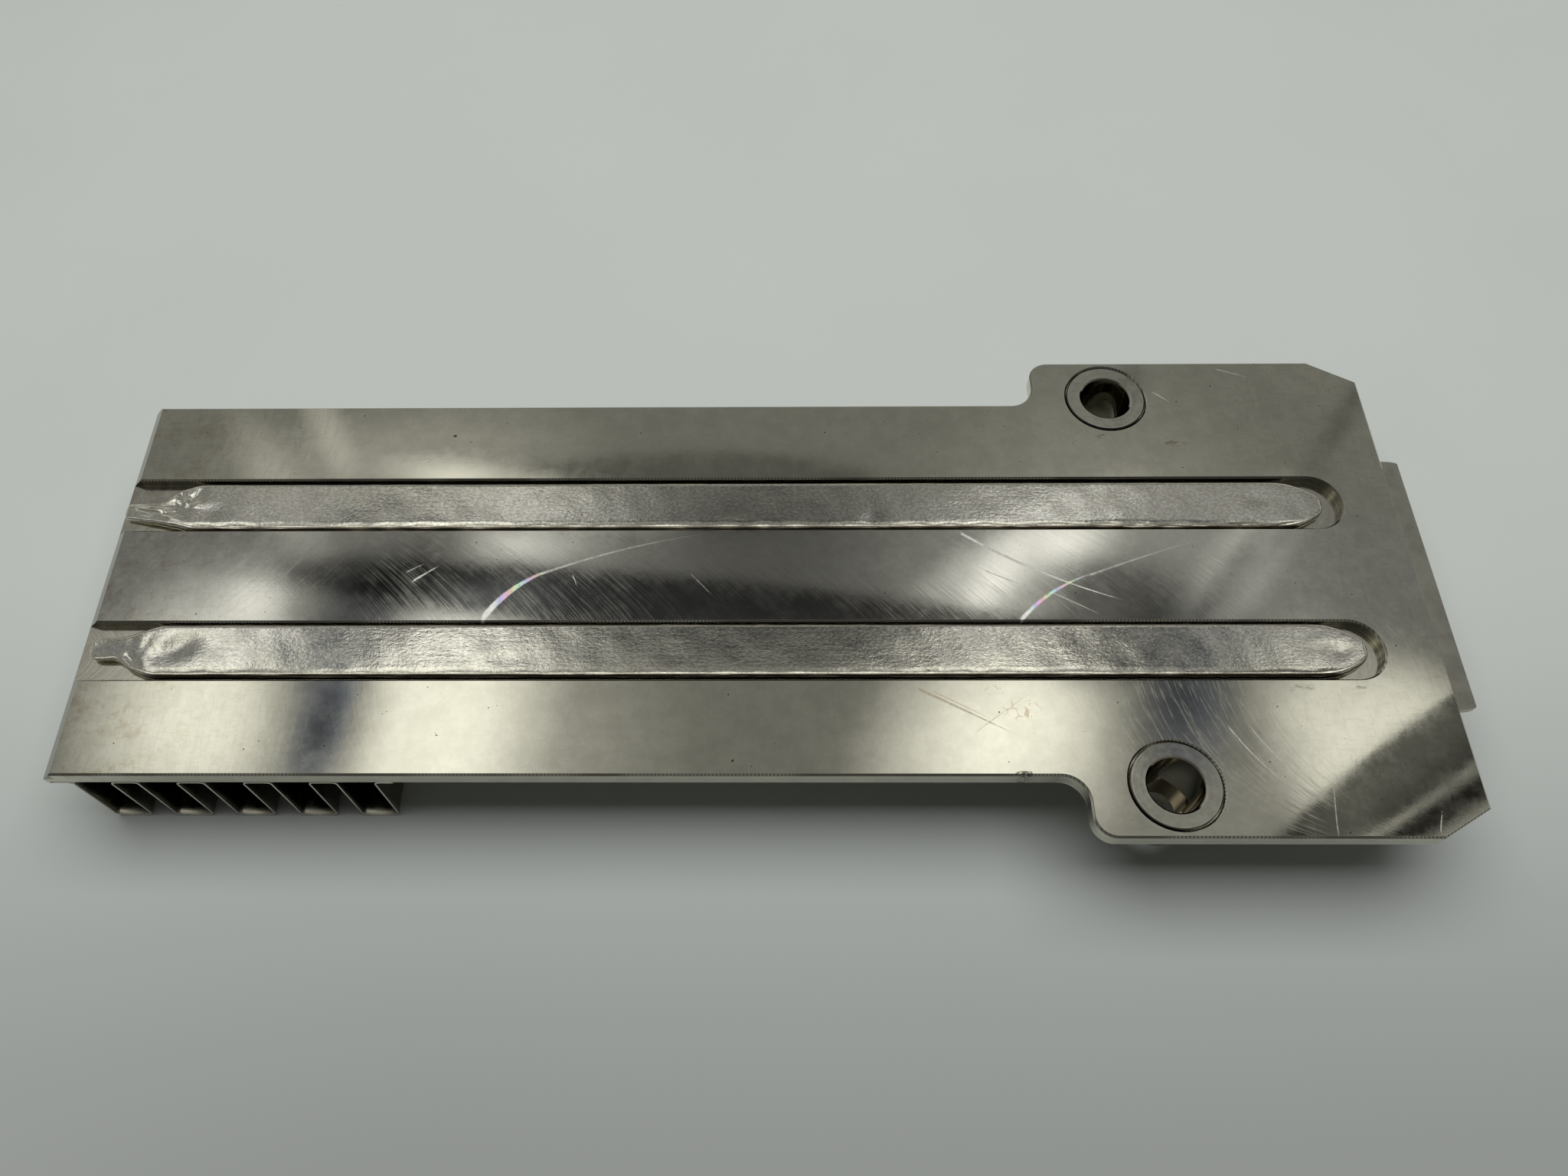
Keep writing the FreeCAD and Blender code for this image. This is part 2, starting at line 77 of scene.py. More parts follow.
class Bench:
    """A node tree being wired up, with short names for the nodes that the finishes share."""

    def __init__(self, tree: bpy.types.NodeTree) -> None:
        """Clears the tree.

        Args:
            tree: The node tree of a material or of the world.
        """
        self.tree = tree
        tree.nodes.clear()

    def node(self, kind: str, feeds: dict | None = None, **settings: object) -> bpy.types.Node:
        """Adds a node.

        Args:
            kind: The node's type without its leading ShaderNode.
            feeds: Socket name or number to a value or to another node's output.
            settings: The node's own properties.

        Returns:
            The new node.
        """
        made = self.tree.nodes.new("ShaderNode" + kind)
        for name, value in settings.items():
            setattr(made, name, value)
        for key, value in (feeds or {}).items():
            if isinstance(value, bpy.types.NodeSocket):
                self.tree.links.new(value, made.inputs[key])
            else:
                target = made.inputs[key]
                wide = target.type == "RGBA" and len(value) == 3
                target.default_value = (*value, 1.0) if wide else value
        return made

    def sum(self, *terms: Feed) -> Feed:
        """Adds numbers or sockets one after another.

        Args:
            terms: What is added.

        Returns:
            The total, a plain term if there is only one.
        """
        total = terms[0]
        for term in terms[1:]:
            total = self.math("ADD", total, term)
        return total

    def math(self, operation: str, *values: Feed) -> bpy.types.NodeSocket:
        """One Math node on numbers or sockets."""
        return self.node("Math", dict(enumerate(values)), operation=operation).outputs[0]

    def vector(self, operation: str, *values: Feed) -> bpy.types.NodeSocket:
        """One Vector Math node on vectors or sockets."""
        return self.node("VectorMath", dict(enumerate(values)), operation=operation).outputs[0]

    def scaled(self, vector: Feed, factor: Feed) -> bpy.types.NodeSocket:
        """A vector times a number."""
        return self.node("VectorMath", {0: vector, "Scale": factor}, operation="SCALE").outputs[0]

    def length(self, vector: Feed) -> bpy.types.NodeSocket:
        """The length of a vector."""
        return self.node("VectorMath", {0: vector}, operation="LENGTH").outputs["Value"]

    def ramp(self, value: Feed, start: float, end: float, low: float = 0.0, high: float = 1.0,
             smooth: bool = True) -> bpy.types.NodeSocket:
        """Maps a value from start..end to low..high, held at both ends.

        Args:
            value: The number or socket to map.
            start: Where the result is low.
            end: Where the result is high.
            low: Result up to start.
            high: Result from end on.
            smooth: Whether the ends ease in and out.

        Returns:
            The mapped value.
        """
        feeds = {0: value, 1: start, 2: end, 3: low, 4: high}
        kind = "SMOOTHSTEP" if smooth else "LINEAR"
        return self.node("MapRange", feeds, interpolation_type=kind, clamp=True).outputs[0]

    def noise(self, vector: Feed, scale: float, detail: float = 2.0,
              rough: float = 0.5) -> bpy.types.NodeSocket:
        """Smooth noise about 0.5, at a scale in features per millimetre when the vector is in millimetres."""
        feeds = {"Vector": vector, "Scale": scale, "Detail": detail, "Roughness": rough}
        return self.node("TexNoise", feeds).outputs[0]

    def place(self) -> bpy.types.NodeSocket:
        """The shaded point in the CAD frame, in millimetres."""
        return self.scaled(self.node("TexCoord").outputs["Object"], 1 / MM)

    def parts(self, vector: bpy.types.NodeSocket) -> tuple:
        """The x, y and z of a vector."""
        return tuple(self.node("SeparateXYZ", {0: vector}).outputs)

    def blend(self, share: Feed, low: Feed, high: Feed) -> bpy.types.NodeSocket:
        """Mixes two colours.

        Args:
            share: How much of the second colour shows.
            low: The colour where share is 0.
            high: The colour where share is 1.

        Returns:
            The mixed colour.
        """
        made = self.node("Mix", {0: share}, data_type="RGBA")
        for key, value in ((6, low), (7, high)):
            if isinstance(value, bpy.types.NodeSocket):
                self.tree.links.new(value, made.inputs[key])
            else:
                made.inputs[key].default_value = (*value, 1.0)
        return made.outputs[2]


@dataclass(frozen=True)
class Patch:
    """A soft panel or flag above the plate, placed by the spot of the plate that mirrors it to the camera.

    The spot is in millimetres of the CAD frame: along X, across Y, half sizes before the turn in degrees.
    core is the share of the half sizes that is at full strength, level the strength in the middle.
    """

    x: float
    y: float
    half_x: float
    half_y: float
    level: float
    turn: float = 0.0
    core: float = 0.0


@dataclass(frozen=True)
class PhotoCamera:
    """The camera that took the photograph, in millimetres and radians."""

    place: tuple[float, float, float] = EYE
    turn: tuple[float, float, float] = (0.517, 0.012, 0.005)
    focal_pixels: float = 1541.56
    centre_pixel: float = 973.29
    sensor: float = 36.0

    def build(self) -> bpy.types.Object:
        """Makes the scene's camera.

        The lens is the focal length in pixels times the sensor's width over the picture's width, and the
        sideways shift is the distance from the optical centre to the middle of the picture.

        Returns:
            The camera.
        """
        data = bpy.data.cameras.new("photo_camera")
        data.sensor_width = self.sensor
        data.lens = self.sensor * self.focal_pixels / PHOTO_WIDTH
        data.shift_x = (PHOTO_WIDTH / 2 - self.centre_pixel) / PHOTO_WIDTH
        data.clip_start = 0.01
        camera = bpy.data.objects.new("photo_camera", data)
        camera.location = [value * MM for value in self.place]
        camera.rotation_euler = self.turn
        bpy.context.scene.collection.objects.link(camera)
        bpy.context.scene.camera = camera
        return camera


@dataclass(frozen=True)
class Studio:
    """The room around the table: soft panels and flags overhead, and plain walls.

    Levels of light: overhead lies between the panels, wall is the wall behind, dark_wall the one in front,
    and sky lights the table. A direction has parts from -1 to 1. Where it rises less than low_rise the walls
    take over, and low_share of the panels is left there. wall_turn is how far towards the rear it points
    where the dark wall starts to turn pale and where it is pale, and front_fade where the panels have
    faded, where they are full, and what is left of them. The plate's middle is tinted cool and, past
    tint_edge from the middle line, warm. The blue patches tint steel what is darker than steel_light.
    """

    plate_top: float = 16.0
    eye: tuple[float, float, float] = EYE
    overhead: float = 0.216
    wall: float = 0.45
    dark_wall: float = 0.2
    sky: float = 0.085
    least_rise: float = 0.03
    low_rise: tuple[float, float] = (0.25, 0.75)
    low_share: float = 0.12
    wall_turn: tuple[float, float] = (-0.3, 0.5)
    front_fade: tuple[float, float, float] = (-0.5, -0.28, 0.3)
    cool: tuple[float, float, float] = (0.99, 1.0, 1.05)
    warm: tuple[float, float, float] = (1.0, 1.0, 0.965)
    tint_edge: tuple[float, float] = (6.0, 16.0)
    steel: tuple[float, float, float] = (0.9, 1.0, 1.3)
    steel_light: tuple[float, float] = (0.5, 0.15)
    blue: tuple[Patch, ...] = (
        Patch(-113.0, -20.0, 9.0, 30.0, 1.0, -6),
        Patch(3.5, -20.0, 9.0, 18.0, 1.0, -12),
        Patch(-75.0, -5.0, 48.0, 6.0, 0.45, -5, 0.4),
    )
    panels: tuple[Patch, ...] = (
        Patch(-130.7, -21.2, 22.7, 29.9, 1.05, 3, 0.07),
        Patch(-101.5, -22.5, 22.4, 42.8, 0.92, -8, 0.26),
        Patch(-91.2, -28.0, 33.3, 30.5, 0.31, 37, 0.01),
        Patch(-22.3, -25.5, 20.9, 30.9, 1.13, -38, 0.00),
        Patch(-15.9, 3.8, 7.0, 27.7, 0.48, -59, 0.29),
        Patch(33.6, -37.5, 31.2, 21.3, 0.85, 114, 0.51),
        Patch(-91.6, 9.2, 20.7, 10.3, 0.75, -19, 0.00),
        Patch(-88.8, 13.7, 29.8, 5.8, 1.25, -13, 0.00),
        Patch(-110.5, 20.1, 39.7, 16.0, 0.20, 7, 0.07),
        Patch(15.2, 1.9, 6.5, 23.6, 0.34, -39, 0.15),
        Patch(-122.5, 27.1, 4.0, 17.3, 0.26, 28, 0.07),
        Patch(-4.0, -12.5, 62.0, 40.4, 0.21, 86, 0.00),
        Patch(-21.7, -2.8, 4.8, 15.2, 0.64, -31, 0.01),
        Patch(-127.2, -3.0, 7.9, 7.1, 0.51, -90, 0.13),
        Patch(-9.7, 5.2, 11.4, 5.0, 0.54, 2, 0.04),
        Patch(-126.7, 13.3, 6.1, 31.9, 0.20, 32, 0.05),
        Patch(19.1, -16.4, 13.9, 7.5, 0.16, 52, 0.48),
        Patch(-55.0, -92.0, 190.0, 40.0, 1.2, 0, 0.3),
    )
    flags: tuple[Patch, ...] = (
        Patch(-113.9, -23.5, 11.3, 28.3, 0.93, -6, 0.00),
        Patch(2.6, -18.6, 15.2, 27.6, 0.82, -20, 0.00),
        Patch(-62.0, -5.9, 78.6, 6.3, 0.85, -6, 0.66),
        Patch(-69.8, 13.7, 38.5, 9.0, 0.41, 3, 0.75),
        Patch(12.8, -0.7, 2.4, 17.8, 0.56, -39, 0.32),
        Patch(41.6, -41.5, 80.0, 17.2, 0.7, 37, 0.62),
        Patch(-4.6, -7.6, 16.4, 11.6, 0.71, 40, 0.42),
        Patch(-107.6, -1.4, 12.2, 30.9, 0.84, -39, 0.13),
        Patch(34.6, -27.1, 35.1, 4.6, 0.88, 33, 0.82),
        Patch(3.0, 33.2, 3.3, 11.8, 0.29, -24, 0.24),
        Patch(41.0, 33.9, 3.2, 40.1, 0.38, -38, 0.00),
        Patch(-94.3, 0.3, 11.2, 3.9, 0.54, 5, 0.20),
        Patch(39.2, -32.5, 62.8, 2.1, 0.96, 30, 0.5),
        Patch(-52.4, 4.9, 22.9, 15.1, 0.43, 4, 0.23),
        Patch(19.3, 3.5, 1.7, 24.5, 0.32, -40, 0.26),
    )

    def build(self) -> None:
        """Makes the world: what mirrors see, what the camera sees past the table, and the plain light.

        A direction r meets the plate's mirror spot at eye + height * (r.x, r.y) / r.z. Each patch is full at
        its middle and eases to nothing at its rim, measured as the length of the offset over the half sizes.
        """
        world = bpy.data.worlds.new("studio")
        bpy.context.scene.world = world
        world.use_nodes = True
        world.cycles.sampling_method = "NONE"
        bench = Bench(world.node_tree)
        look = bench.node("TexCoord").outputs["Generated"]
        up = bench.math("MAXIMUM", bench.parts(look)[2], self.least_rise)
        height = self.eye[2] - self.plate_top
        spot = bench.scaled(look, bench.math("DIVIDE", height, up))
        spot = bench.vector("ADD", spot, (self.eye[0], self.eye[1], 0.0))
        spot = bench.vector("MULTIPLY", spot, (1.0, 1.0, 0.0))
        light = bench.sum(self.overhead, *[self.patch(bench, spot, one) for one in self.panels])
        for one in self.flags:
            light = bench.math("MULTIPLY", light, bench.math("SUBTRACT", 1.0, self.patch(bench, spot, one)))
        _, ahead, rise = bench.parts(look)
        low = bench.ramp(rise, *self.low_rise, 1.0, 0.0)
        room = bench.ramp(ahead, *self.wall_turn, self.dark_wall, self.wall)
        light = bench.math("MULTIPLY", light, bench.ramp(ahead, *self.front_fade, 1.0))
        light = bench.sum(bench.math("MULTIPLY", light, bench.ramp(low, 0.0, 1.0, 1.0, self.low_share)),
                          bench.math("MULTIPLY", low, room))
        side = bench.math("ABSOLUTE", bench.parts(spot)[1])
        tint = bench.blend(bench.ramp(side, *self.tint_edge), self.cool, self.warm)
        bluish = bench.sum(*[self.patch(bench, spot, one) for one in self.blue])
        bluish = bench.math("MULTIPLY", bluish, bench.ramp(light, *self.steel_light))
        tint = bench.blend(bluish, tint, self.steel)
        mirror = bench.scaled(tint, light)
        rays = bench.node("LightPath").outputs
        plain = bench.node("RGB").outputs[0]
        plain.default_value = (self.sky, self.sky, self.sky, 1.0)
        pale = bench.node("RGB").outputs[0]
        pale.default_value = (*PALE, 1.0)
        seen = bench.blend(rays["Is Glossy Ray"], plain, mirror)
        seen = bench.blend(rays["Is Camera Ray"], seen, pale)
        back = bench.node("Background", {"Color": seen})
        bench.node("OutputWorld", {"Surface": back.outputs[0]})

    def patch(self, bench: Bench, spot: bpy.types.NodeSocket, one: Patch) -> bpy.types.NodeSocket:
        """One patch's strength at a mirror spot.

        Args:
            bench: The world's node tree.
            spot: The mirror spot in millimetres.
            one: The patch.

        Returns:
            Its level in the middle, easing to nothing at the rim.
        """
        offset = bench.node("Mapping", {
            "Vector": spot,
            "Location": (one.x, one.y, 0.0),
            "Rotation": (0.0, 0.0, math.radians(one.turn)),
            "Scale": (one.half_x, one.half_y, 1.0),
        }, vector_type="TEXTURE").outputs[0]
        return bench.ramp(bench.length(offset), one.core, 1.0, one.level, 0.0)


@dataclass(frozen=True)
class SoftLamp:
    """A soft box over the table, in millimetres, aimed at the middle of the object."""

    name: str
    place: tuple[float, float, float]
    size: tuple[float, float]
    power: float
    aim: tuple[float, float, float] = (-55.0, 0.0, 8.0)

    def build(self) -> bpy.types.Object:
        """Makes the lamp, which mirrors don't see because the studio's panels stand for it.

        Returns:
            The lamp.
        """
        data = bpy.data.lights.new(self.name, "AREA")
        data.shape = "RECTANGLE"
        data.size = self.size[0] * MM
        data.size_y = self.size[1] * MM
        data.energy = self.power
        lamp = bpy.data.objects.new(self.name, data)
        lamp.location = [value * MM for value in self.place]
        away = lamp.location - Vector([value * MM for value in self.aim])
        lamp.rotation_euler = away.to_track_quat("Z", "Y").to_euler()
        lamp.visible_glossy = False
        bpy.context.scene.collection.objects.link(lamp)
        return lamp


@dataclass(frozen=True)
class Table:
    """The pale table under the object.

    In millimetres: fade is how far across the near tone, a painted shade, turns into the far one, left_fade
    how far along the near tone turns into the left one, a painted lighter patch, and glow how far from the
    middle it starts to shine and is full.
    """

    half: float = 3000.0
    drop: float = 0.05
    near_painted_shade: tuple[float, float, float] = (0.382, 0.402, 0.384)
    far_tone: tuple[float, float, float] = (0.64, 0.678, 0.64)
    left_painted_light: tuple[float, float, float] = (0.485, 0.508, 0.49)
    left_fade: tuple[float, float] = (-90.0, -230.0)
    middle: tuple[float, float, float] = (-55.0, 0.0, 0.0)
    glow: tuple[float, float] = (420.0, 1500.0)
    fade: tuple[float, float] = (-90.0, 15.0)
    mottle_scale: float = 0.02
    mottling: float = 0.05
    roughness: float = 0.6
    shine: float = 0.2

    def build(self) -> bpy.types.Object:
        """Makes the table top as one flat sheet just under the object.

        Returns:
            The table top.
        """
        corner = np.array([[-1, -1, 0], [1, -1, 0], [1, 1, 0], [-1, 1, 0]], float)
        points = corner * self.half * MM - np.array([0, 0, self.drop * MM])
        table = mesh_object("table_top", points, np.array([[0, 1, 2, 3]]))
        material = bpy.data.materials.new("pale_laminate")
        material.use_nodes = True
        bench = Bench(material.node_tree)
        place = bench.place()
        mottle = bench.noise(place, self.mottle_scale, 3.0)
        along, across, _ = bench.parts(place)
        # Painted shade and light: darker towards the near side, lighter to the left and at the back; the
        # mottle darkens towards the same near tone
        near = bench.blend(bench.ramp(along, *self.left_fade), self.near_painted_shade, self.left_painted_light)
        shade = bench.blend(bench.ramp(across, *self.fade), near, self.far_tone)
        shade = bench.blend(bench.ramp(mottle, 0.3, 0.7, 0.0, self.mottling), shade, self.near_painted_shade)
        off = bench.vector("MULTIPLY", bench.vector("SUBTRACT", place, self.middle), (1.0, 1.0, 0.0))
        coat = bench.node("BsdfPrincipled", {
            "Base Color": shade,
            "Roughness": self.roughness,
            "Specular IOR Level": self.shine,
            "Emission Color": PALE,
            "Emission Strength": bench.ramp(bench.length(off), *self.glow),
        })
        bench.node("OutputMaterial", {"Surface": coat.outputs[0]})
        table.data.materials.append(material)
        return table


def mesh_object(name: str, points: np.ndarray, faces: np.ndarray, smooth: bool = False) -> bpy.types.Object:
    """Makes a mesh object at the origin from whole arrays.

    Args:
        name: The piece's name.
        points: One row of x, y, z a vertex, in metres.
        faces: One row of vertex numbers a face, all with the same count of corners.
        smooth: Whether the faces are shaded smooth.

    Returns:
        The linked object.
    """
    mesh = bpy.data.meshes.new(name)
    corners = faces.shape[1]
    mesh.vertices.add(len(points))
    mesh.vertices.foreach_set("co", points.astype(np.float32).ravel())
    mesh.loops.add(faces.size)
    mesh.loops.foreach_set("vertex_index", faces.astype(np.int32).ravel())
    mesh.polygons.add(len(faces))
    mesh.polygons.foreach_set("loop_start", np.arange(0, faces.size, corners, dtype=np.int32))
    mesh.polygons.foreach_set("use_smooth", np.full(len(faces), smooth))
    mesh.update(calc_edges=True)
    mesh.validate()
    made = bpy.data.objects.new(name, mesh)
    bpy.context.scene.collection.objects.link(made)
    return made


@dataclass(frozen=True)
class Sweep:
    """One family of tool marks: arcs of one cutter radius whose centre moved along X, in millimetres.

    The mark through a point has its centre at x + hand * sqrt(radius^2 - (y - middle)^2).
    """

    radius: float
    middle: float
    hand: float


class Coat:
    """A coat of nickel being wired up: its relief, tool marks and the shader that closes it."""

    def __init__(self, name: str) -> None:
        """Starts a material.

        Args:
            name: The material's name.
        """
        self.material = bpy.data.materials.new(name)
        self.material.use_nodes = True
        self.bench = Bench(self.material.node_tree)
        self.place = self.bench.place()
        self.x, self.y, self.z = self.bench.parts(self.place)
        self.relief: bpy.types.NodeSocket | None = None

    def press(self, height: Feed, depth: float) -> None:
        """Adds a layer of relief.

        Args:
            height: Its pattern, from 0 to 1.
            depth: Its depth in millimetres.
        """
        feeds = {"Height": height, "Distance": depth * MM}
        if self.relief is not None:
            feeds["Normal"] = self.relief
        self.relief = self.bench.node("Bump", feeds).outputs[0]

    def stretched(self, along: float, across: float, through: float) -> bpy.types.NodeSocket:
        """The place with each axis scaled, so that a noise on it is drawn out where the scale is small."""
        return self.bench.vector("MULTIPLY", self.place, (along, across, through))

    def marks(self, sweep: Sweep, pitch: float, shift: float = 0.0,
              across: Feed | None = None) -> bpy.types.NodeSocket:
        """The lines that a turning cutter leaves: noise along the centre's travel, drawn out along each arc.

        Args:
            sweep: The cutter and its path.
            pitch: Distance between lines in millimetres.
            shift: Moves the pattern, so that two families differ.
            across: What stands for y, the plain y if left out.

        Returns:
            The pattern, about 0.5.
        """
        bench = self.bench
        off = bench.math("SUBTRACT", self.y if across is None else across, sweep.middle)
        inside = bench.math("SUBTRACT", sweep.radius ** 2, bench.math("MULTIPLY", off, off))
        reach = bench.math("SQRT", bench.math("MAXIMUM", inside, 0.0))
        travel = bench.sum(self.x, bench.math("MULTIPLY", reach, sweep.hand), shift)
        line = bench.node("CombineXYZ", {
            0: bench.math("DIVIDE", travel, pitch),
            1: bench.math("MULTIPLY", off, ARC_STRETCH),
        })
        return bench.noise(line.outputs[0], 1.0, 3.0, 0.6)

    def hairs(self, pattern: Feed, width: float) -> bpy.types.NodeSocket:
        """Thin lines where a pattern crosses its middle."""
        off = self.bench.math("ABSOLUTE", self.bench.math("SUBTRACT", pattern, 0.5))
        return self.bench.ramp(off, width, width * 0.3)

    def blot(self, x: float, y: float, half_x: float, half_y: float) -> bpy.types.NodeSocket:
        """An oval blot seen from above.

        Args:
            x: Its middle along X, in millimetres.
            y: Its middle across Y.
            half_x: Its half size along X.
            half_y: Its half size across Y.

        Returns:
            A mask that is full inside and nothing past the half sizes.
        """
        bench = self.bench
        off = bench.vector("DIVIDE", bench.vector("SUBTRACT", self.place, (x, y, 0.0)), (half_x, half_y, 1.0))
        return bench.ramp(bench.length(bench.vector("MULTIPLY", off, (1.0, 1.0, 0.0))), 1.0, 0.55)

    def blots(self, ovals: tuple[tuple[float, float, float, float], ...]) -> bpy.types.NodeSocket:
        """Several blots as one mask.

        Args:
            ovals: The middle and half sizes of each blot.

        Returns:
            The mask of all of them.
        """
        total = self.blot(*ovals[0])
        for oval in ovals[1:]:
            total = self.bench.math("MAXIMUM", total, self.blot(*oval))
        return total

    def band(self, value: Feed, start: float, end: float, ease: float) -> bpy.types.NodeSocket:
        """A mask that is full where a value lies between start and end, and eases off outside them."""
        above = self.bench.ramp(value, start - ease, start)
        return self.bench.math("MULTIPLY", above, self.bench.ramp(value, end + ease, end))

    def finish(self, tone: Feed, gloss: Feed, metallic: Feed = 1.0) -> bpy.types.Material:
        """Closes the material.

        Args:
            tone: Its colour.
            gloss: Its roughness.
            metallic: How metallic it is.

        Returns:
            The material.
        """
        feeds = {"Base Color": tone, "Metallic": metallic, "Roughness": gloss}
        if self.relief is not None:
            feeds["Normal"] = self.relief
        metal = self.bench.node("BsdfPrincipled", feeds)
        self.bench.node("OutputMaterial", {"Surface": metal.outputs[0]})
        return self.material


@dataclass(frozen=True)
class Scratch:
    """One arc-shaped scratch or glint on the plate's top, in millimetres, seen from above.

    It lies at one radius round its centre, between two places along X, above or below the centre. gloss is
    how much rougher it is than the plate, fade the share of its length over which its end fades, and tone its
    colour unless it is a painted glint. A painted glint is a painted highlight, white up to white_end from
    its start, with painted hues past it, hue_rate turns of hue a millimetre, and hue_depth says how far its
    hues are from white.
    """

    x: float
    y: float
    radius: float
    start: float
    end: float
    width: float
    strength: float
    above: bool = True
    rainbow: bool = False
    gloss: float = 0.3
    fade: float = 0.3
    taper: float = 0.4
    tone: tuple[float, float, float] = (0.95, 0.93, 0.85)
    white: tuple[float, float, float] = (1.0, 1.0, 0.95)
    white_end: tuple[float, float] = (2.6, 1.4)
    hue_rate: float = 0.28
    hue_depth: float = 0.4

    @classmethod
    def through(cls, start: tuple[float, float], end: tuple[float, float], width: float, strength: float,
                bow: float = 0.05, **looks: object) -> "Scratch":
        """A scratch from one point to another.

        Half its length h and its bow b give the radius (h^2 + b^2) / 2b. Its centre lies that far from the
        middle of the arc, square to the line between the points.

        Args:
            start: The point with the lower x.
            end: The other point.
            width: Its width.
            strength: How strongly it shows.
            bow: How far its middle stands above the line, below it if negative.
            looks: Its gloss, tone, fade, or whether it is a painted glint.

        Returns:
            The scratch.
        """
        run = end[0] - start[0]
        rise = end[1] - start[1]
        half = math.hypot(run, rise) / 2
        radius = (half ** 2 + bow ** 2) / (2 * abs(bow))
        away = math.copysign(radius, bow) - bow
        x = (start[0] + end[0]) / 2 + away * rise / (2 * half)
        y = (start[1] + end[1]) / 2 - away * run / (2 * half)
        return cls(x, y, radius, start[0], end[0], width, strength, above=bow > 0, **looks)

    def mask(self, coat: Coat, broken: bpy.types.NodeSocket) -> bpy.types.NodeSocket:
        """How strongly the scratch shows at a point.

        It is full where the distance to its centre equals its radius, fades over its width and eases in and
        out at both ends.

        Args:
            coat: The coat that it is in.
            broken: A noise that breaks it up.

        Returns:
            Its strength, nothing off the line.
        """
        bench = coat.bench
        off = bench.vector("SUBTRACT", coat.place, (self.x, self.y, 0.0))
        reach = bench.length(bench.vector("MULTIPLY", off, (1.0, 1.0, 0.0)))
        gap = bench.math("ABSOLUTE", bench.math("SUBTRACT", reach, self.radius))
        length = self.end - self.start
        width = bench.ramp(coat.x, self.start, self.end, self.width, self.width * self.taper)
        line = bench.ramp(bench.math("DIVIDE", gap, width), 1.0, 0.3)
        begin = bench.ramp(coat.x, self.start - 0.1, self.start + min(0.4, length * 0.1))
        finish = bench.ramp(coat.x, self.end, self.end - length * self.fade)
        sign = 1.0 if self.above else -1.0
        half = bench.ramp(coat.y, self.y - sign, self.y + sign)
        strength = bench.math("MULTIPLY", line, begin)
        strength = bench.math("MULTIPLY", strength, bench.math("MULTIPLY", half, finish))
        return bench.math("MULTIPLY", bench.math("MULTIPLY", strength, broken), self.strength)

    def colour(self, coat: Coat) -> Feed:
        """Its colour at a point.

        Args:
            coat: The coat that it is in.

        Returns:
            Its tone, or for a painted glint a white lower end that turns into pale hues running along it.
        """
        # Painted highlight: a glint's white end and its hues are painted into the colour
        if not self.rainbow:
            return self.tone
        bench = coat.bench
        turn = bench.math("MULTIPLY", bench.math("SUBTRACT", coat.x, self.start), self.hue_rate)
        hue = {0: bench.math("FRACT", turn), 1: self.hue_depth, 2: 1.0}
        hue = bench.node("CombineColor", hue, mode="HSV").outputs[0]
        end = bench.ramp(coat.x, self.start + self.white_end[0], self.start + self.white_end[1])
        return bench.blend(end, hue, self.white)


RUST = (0.40, 0.32, 0.21)
# Soot specks, nicks and dark scratches, and also painted shade on the chamfers and the cup rims
SOOT_AND_SHADE = (0.13, 0.12, 0.1)
SCRATCHES = (
    Scratch.through((-94.3, -7.8), (-84.2, 1.1), 0.62, 1.3, 1.25, rainbow=True, fade=0.55, taper=0.4),
    Scratch.through((-86.5, 0.0), (-60.0, 7.3), 0.26, 0.62, 0.9, fade=0.7),
    Scratch.through((-17.8, -7.8), (-5.0, 0.5), 0.4, 1.1, 1.15, rainbow=True, fade=0.6),
    Scratch.through((-7.0, -0.3), (14.0, 6.9), 0.22, 0.45, 0.3, fade=0.7),
    Scratch.through((-25.0, 7.0), (-2.0, -4.6), 0.3, 1.0, -1.0, fade=0.25),
    Scratch.through((-22.0, 0.6), (-14.5, -2.6), 0.16, 0.5, -0.2),
    Scratch.through((-105.0, -1.2), (-101.2, 1.6), 0.28, 0.7),
    Scratch.through((-106.0, 0.4), (-103.4, 1.9), 0.18, 0.5),
    Scratch.through((-13.0, -3.0), (-5.5, -7.2), 0.16, 0.5),
    Scratch.through((-81.7, -0.2), (-80.9, -2.2), 0.14, 0.6),
    Scratch.through((-64.7, 0.2), (-61.0, -4.0), 0.14, 0.4),
    Scratch.through((-33.0, -18.2), (-19.5, -25.4), 0.3, 0.75, gloss=0.08, tone=RUST),
    Scratch.through((-31.0, -18.6), (-22.5, -23.2), 0.18, 0.55, gloss=0.08, tone=RUST),
    Scratch.through((-25.5, -24.6), (-17.5, -18.8), 0.15, 0.45, gloss=0.1, tone=RUST),
    Scratch.through((-10.7, 36.6), (-6.9, 33.3), 0.2, 0.8, gloss=0.1, tone=SOOT_AND_SHADE),
    Scratch.through((-10.9, 35.9), (-7.2, 32.9), 0.14, 0.6, gloss=0.1, tone=SOOT_AND_SHADE),
    Scratch.through((-6.9, 38.9), (-5.2, 36.8), 0.16, 0.6, gloss=0.1, tone=SOOT_AND_SHADE),
    Scratch.through((7.4, 33.3), (10.0, 31.1), 0.16, 0.7),
    Scratch.through((18.4, 37.8), (23.5, 35.9), 0.14, 0.6),
    Scratch.through((19.4, -38.6), (20.6, -31.0), 0.14, 0.5),
    Scratch.through((32.5, -38.4), (33.6, -35.4), 0.14, 0.6),
    Scratch.through((8.2, -23.6), (16.4, -34.0), 0.16, 0.6, -0.6),
    Scratch.through((11.2, -23.8), (18.0, -32.6), 0.14, 0.5, -0.5),
)


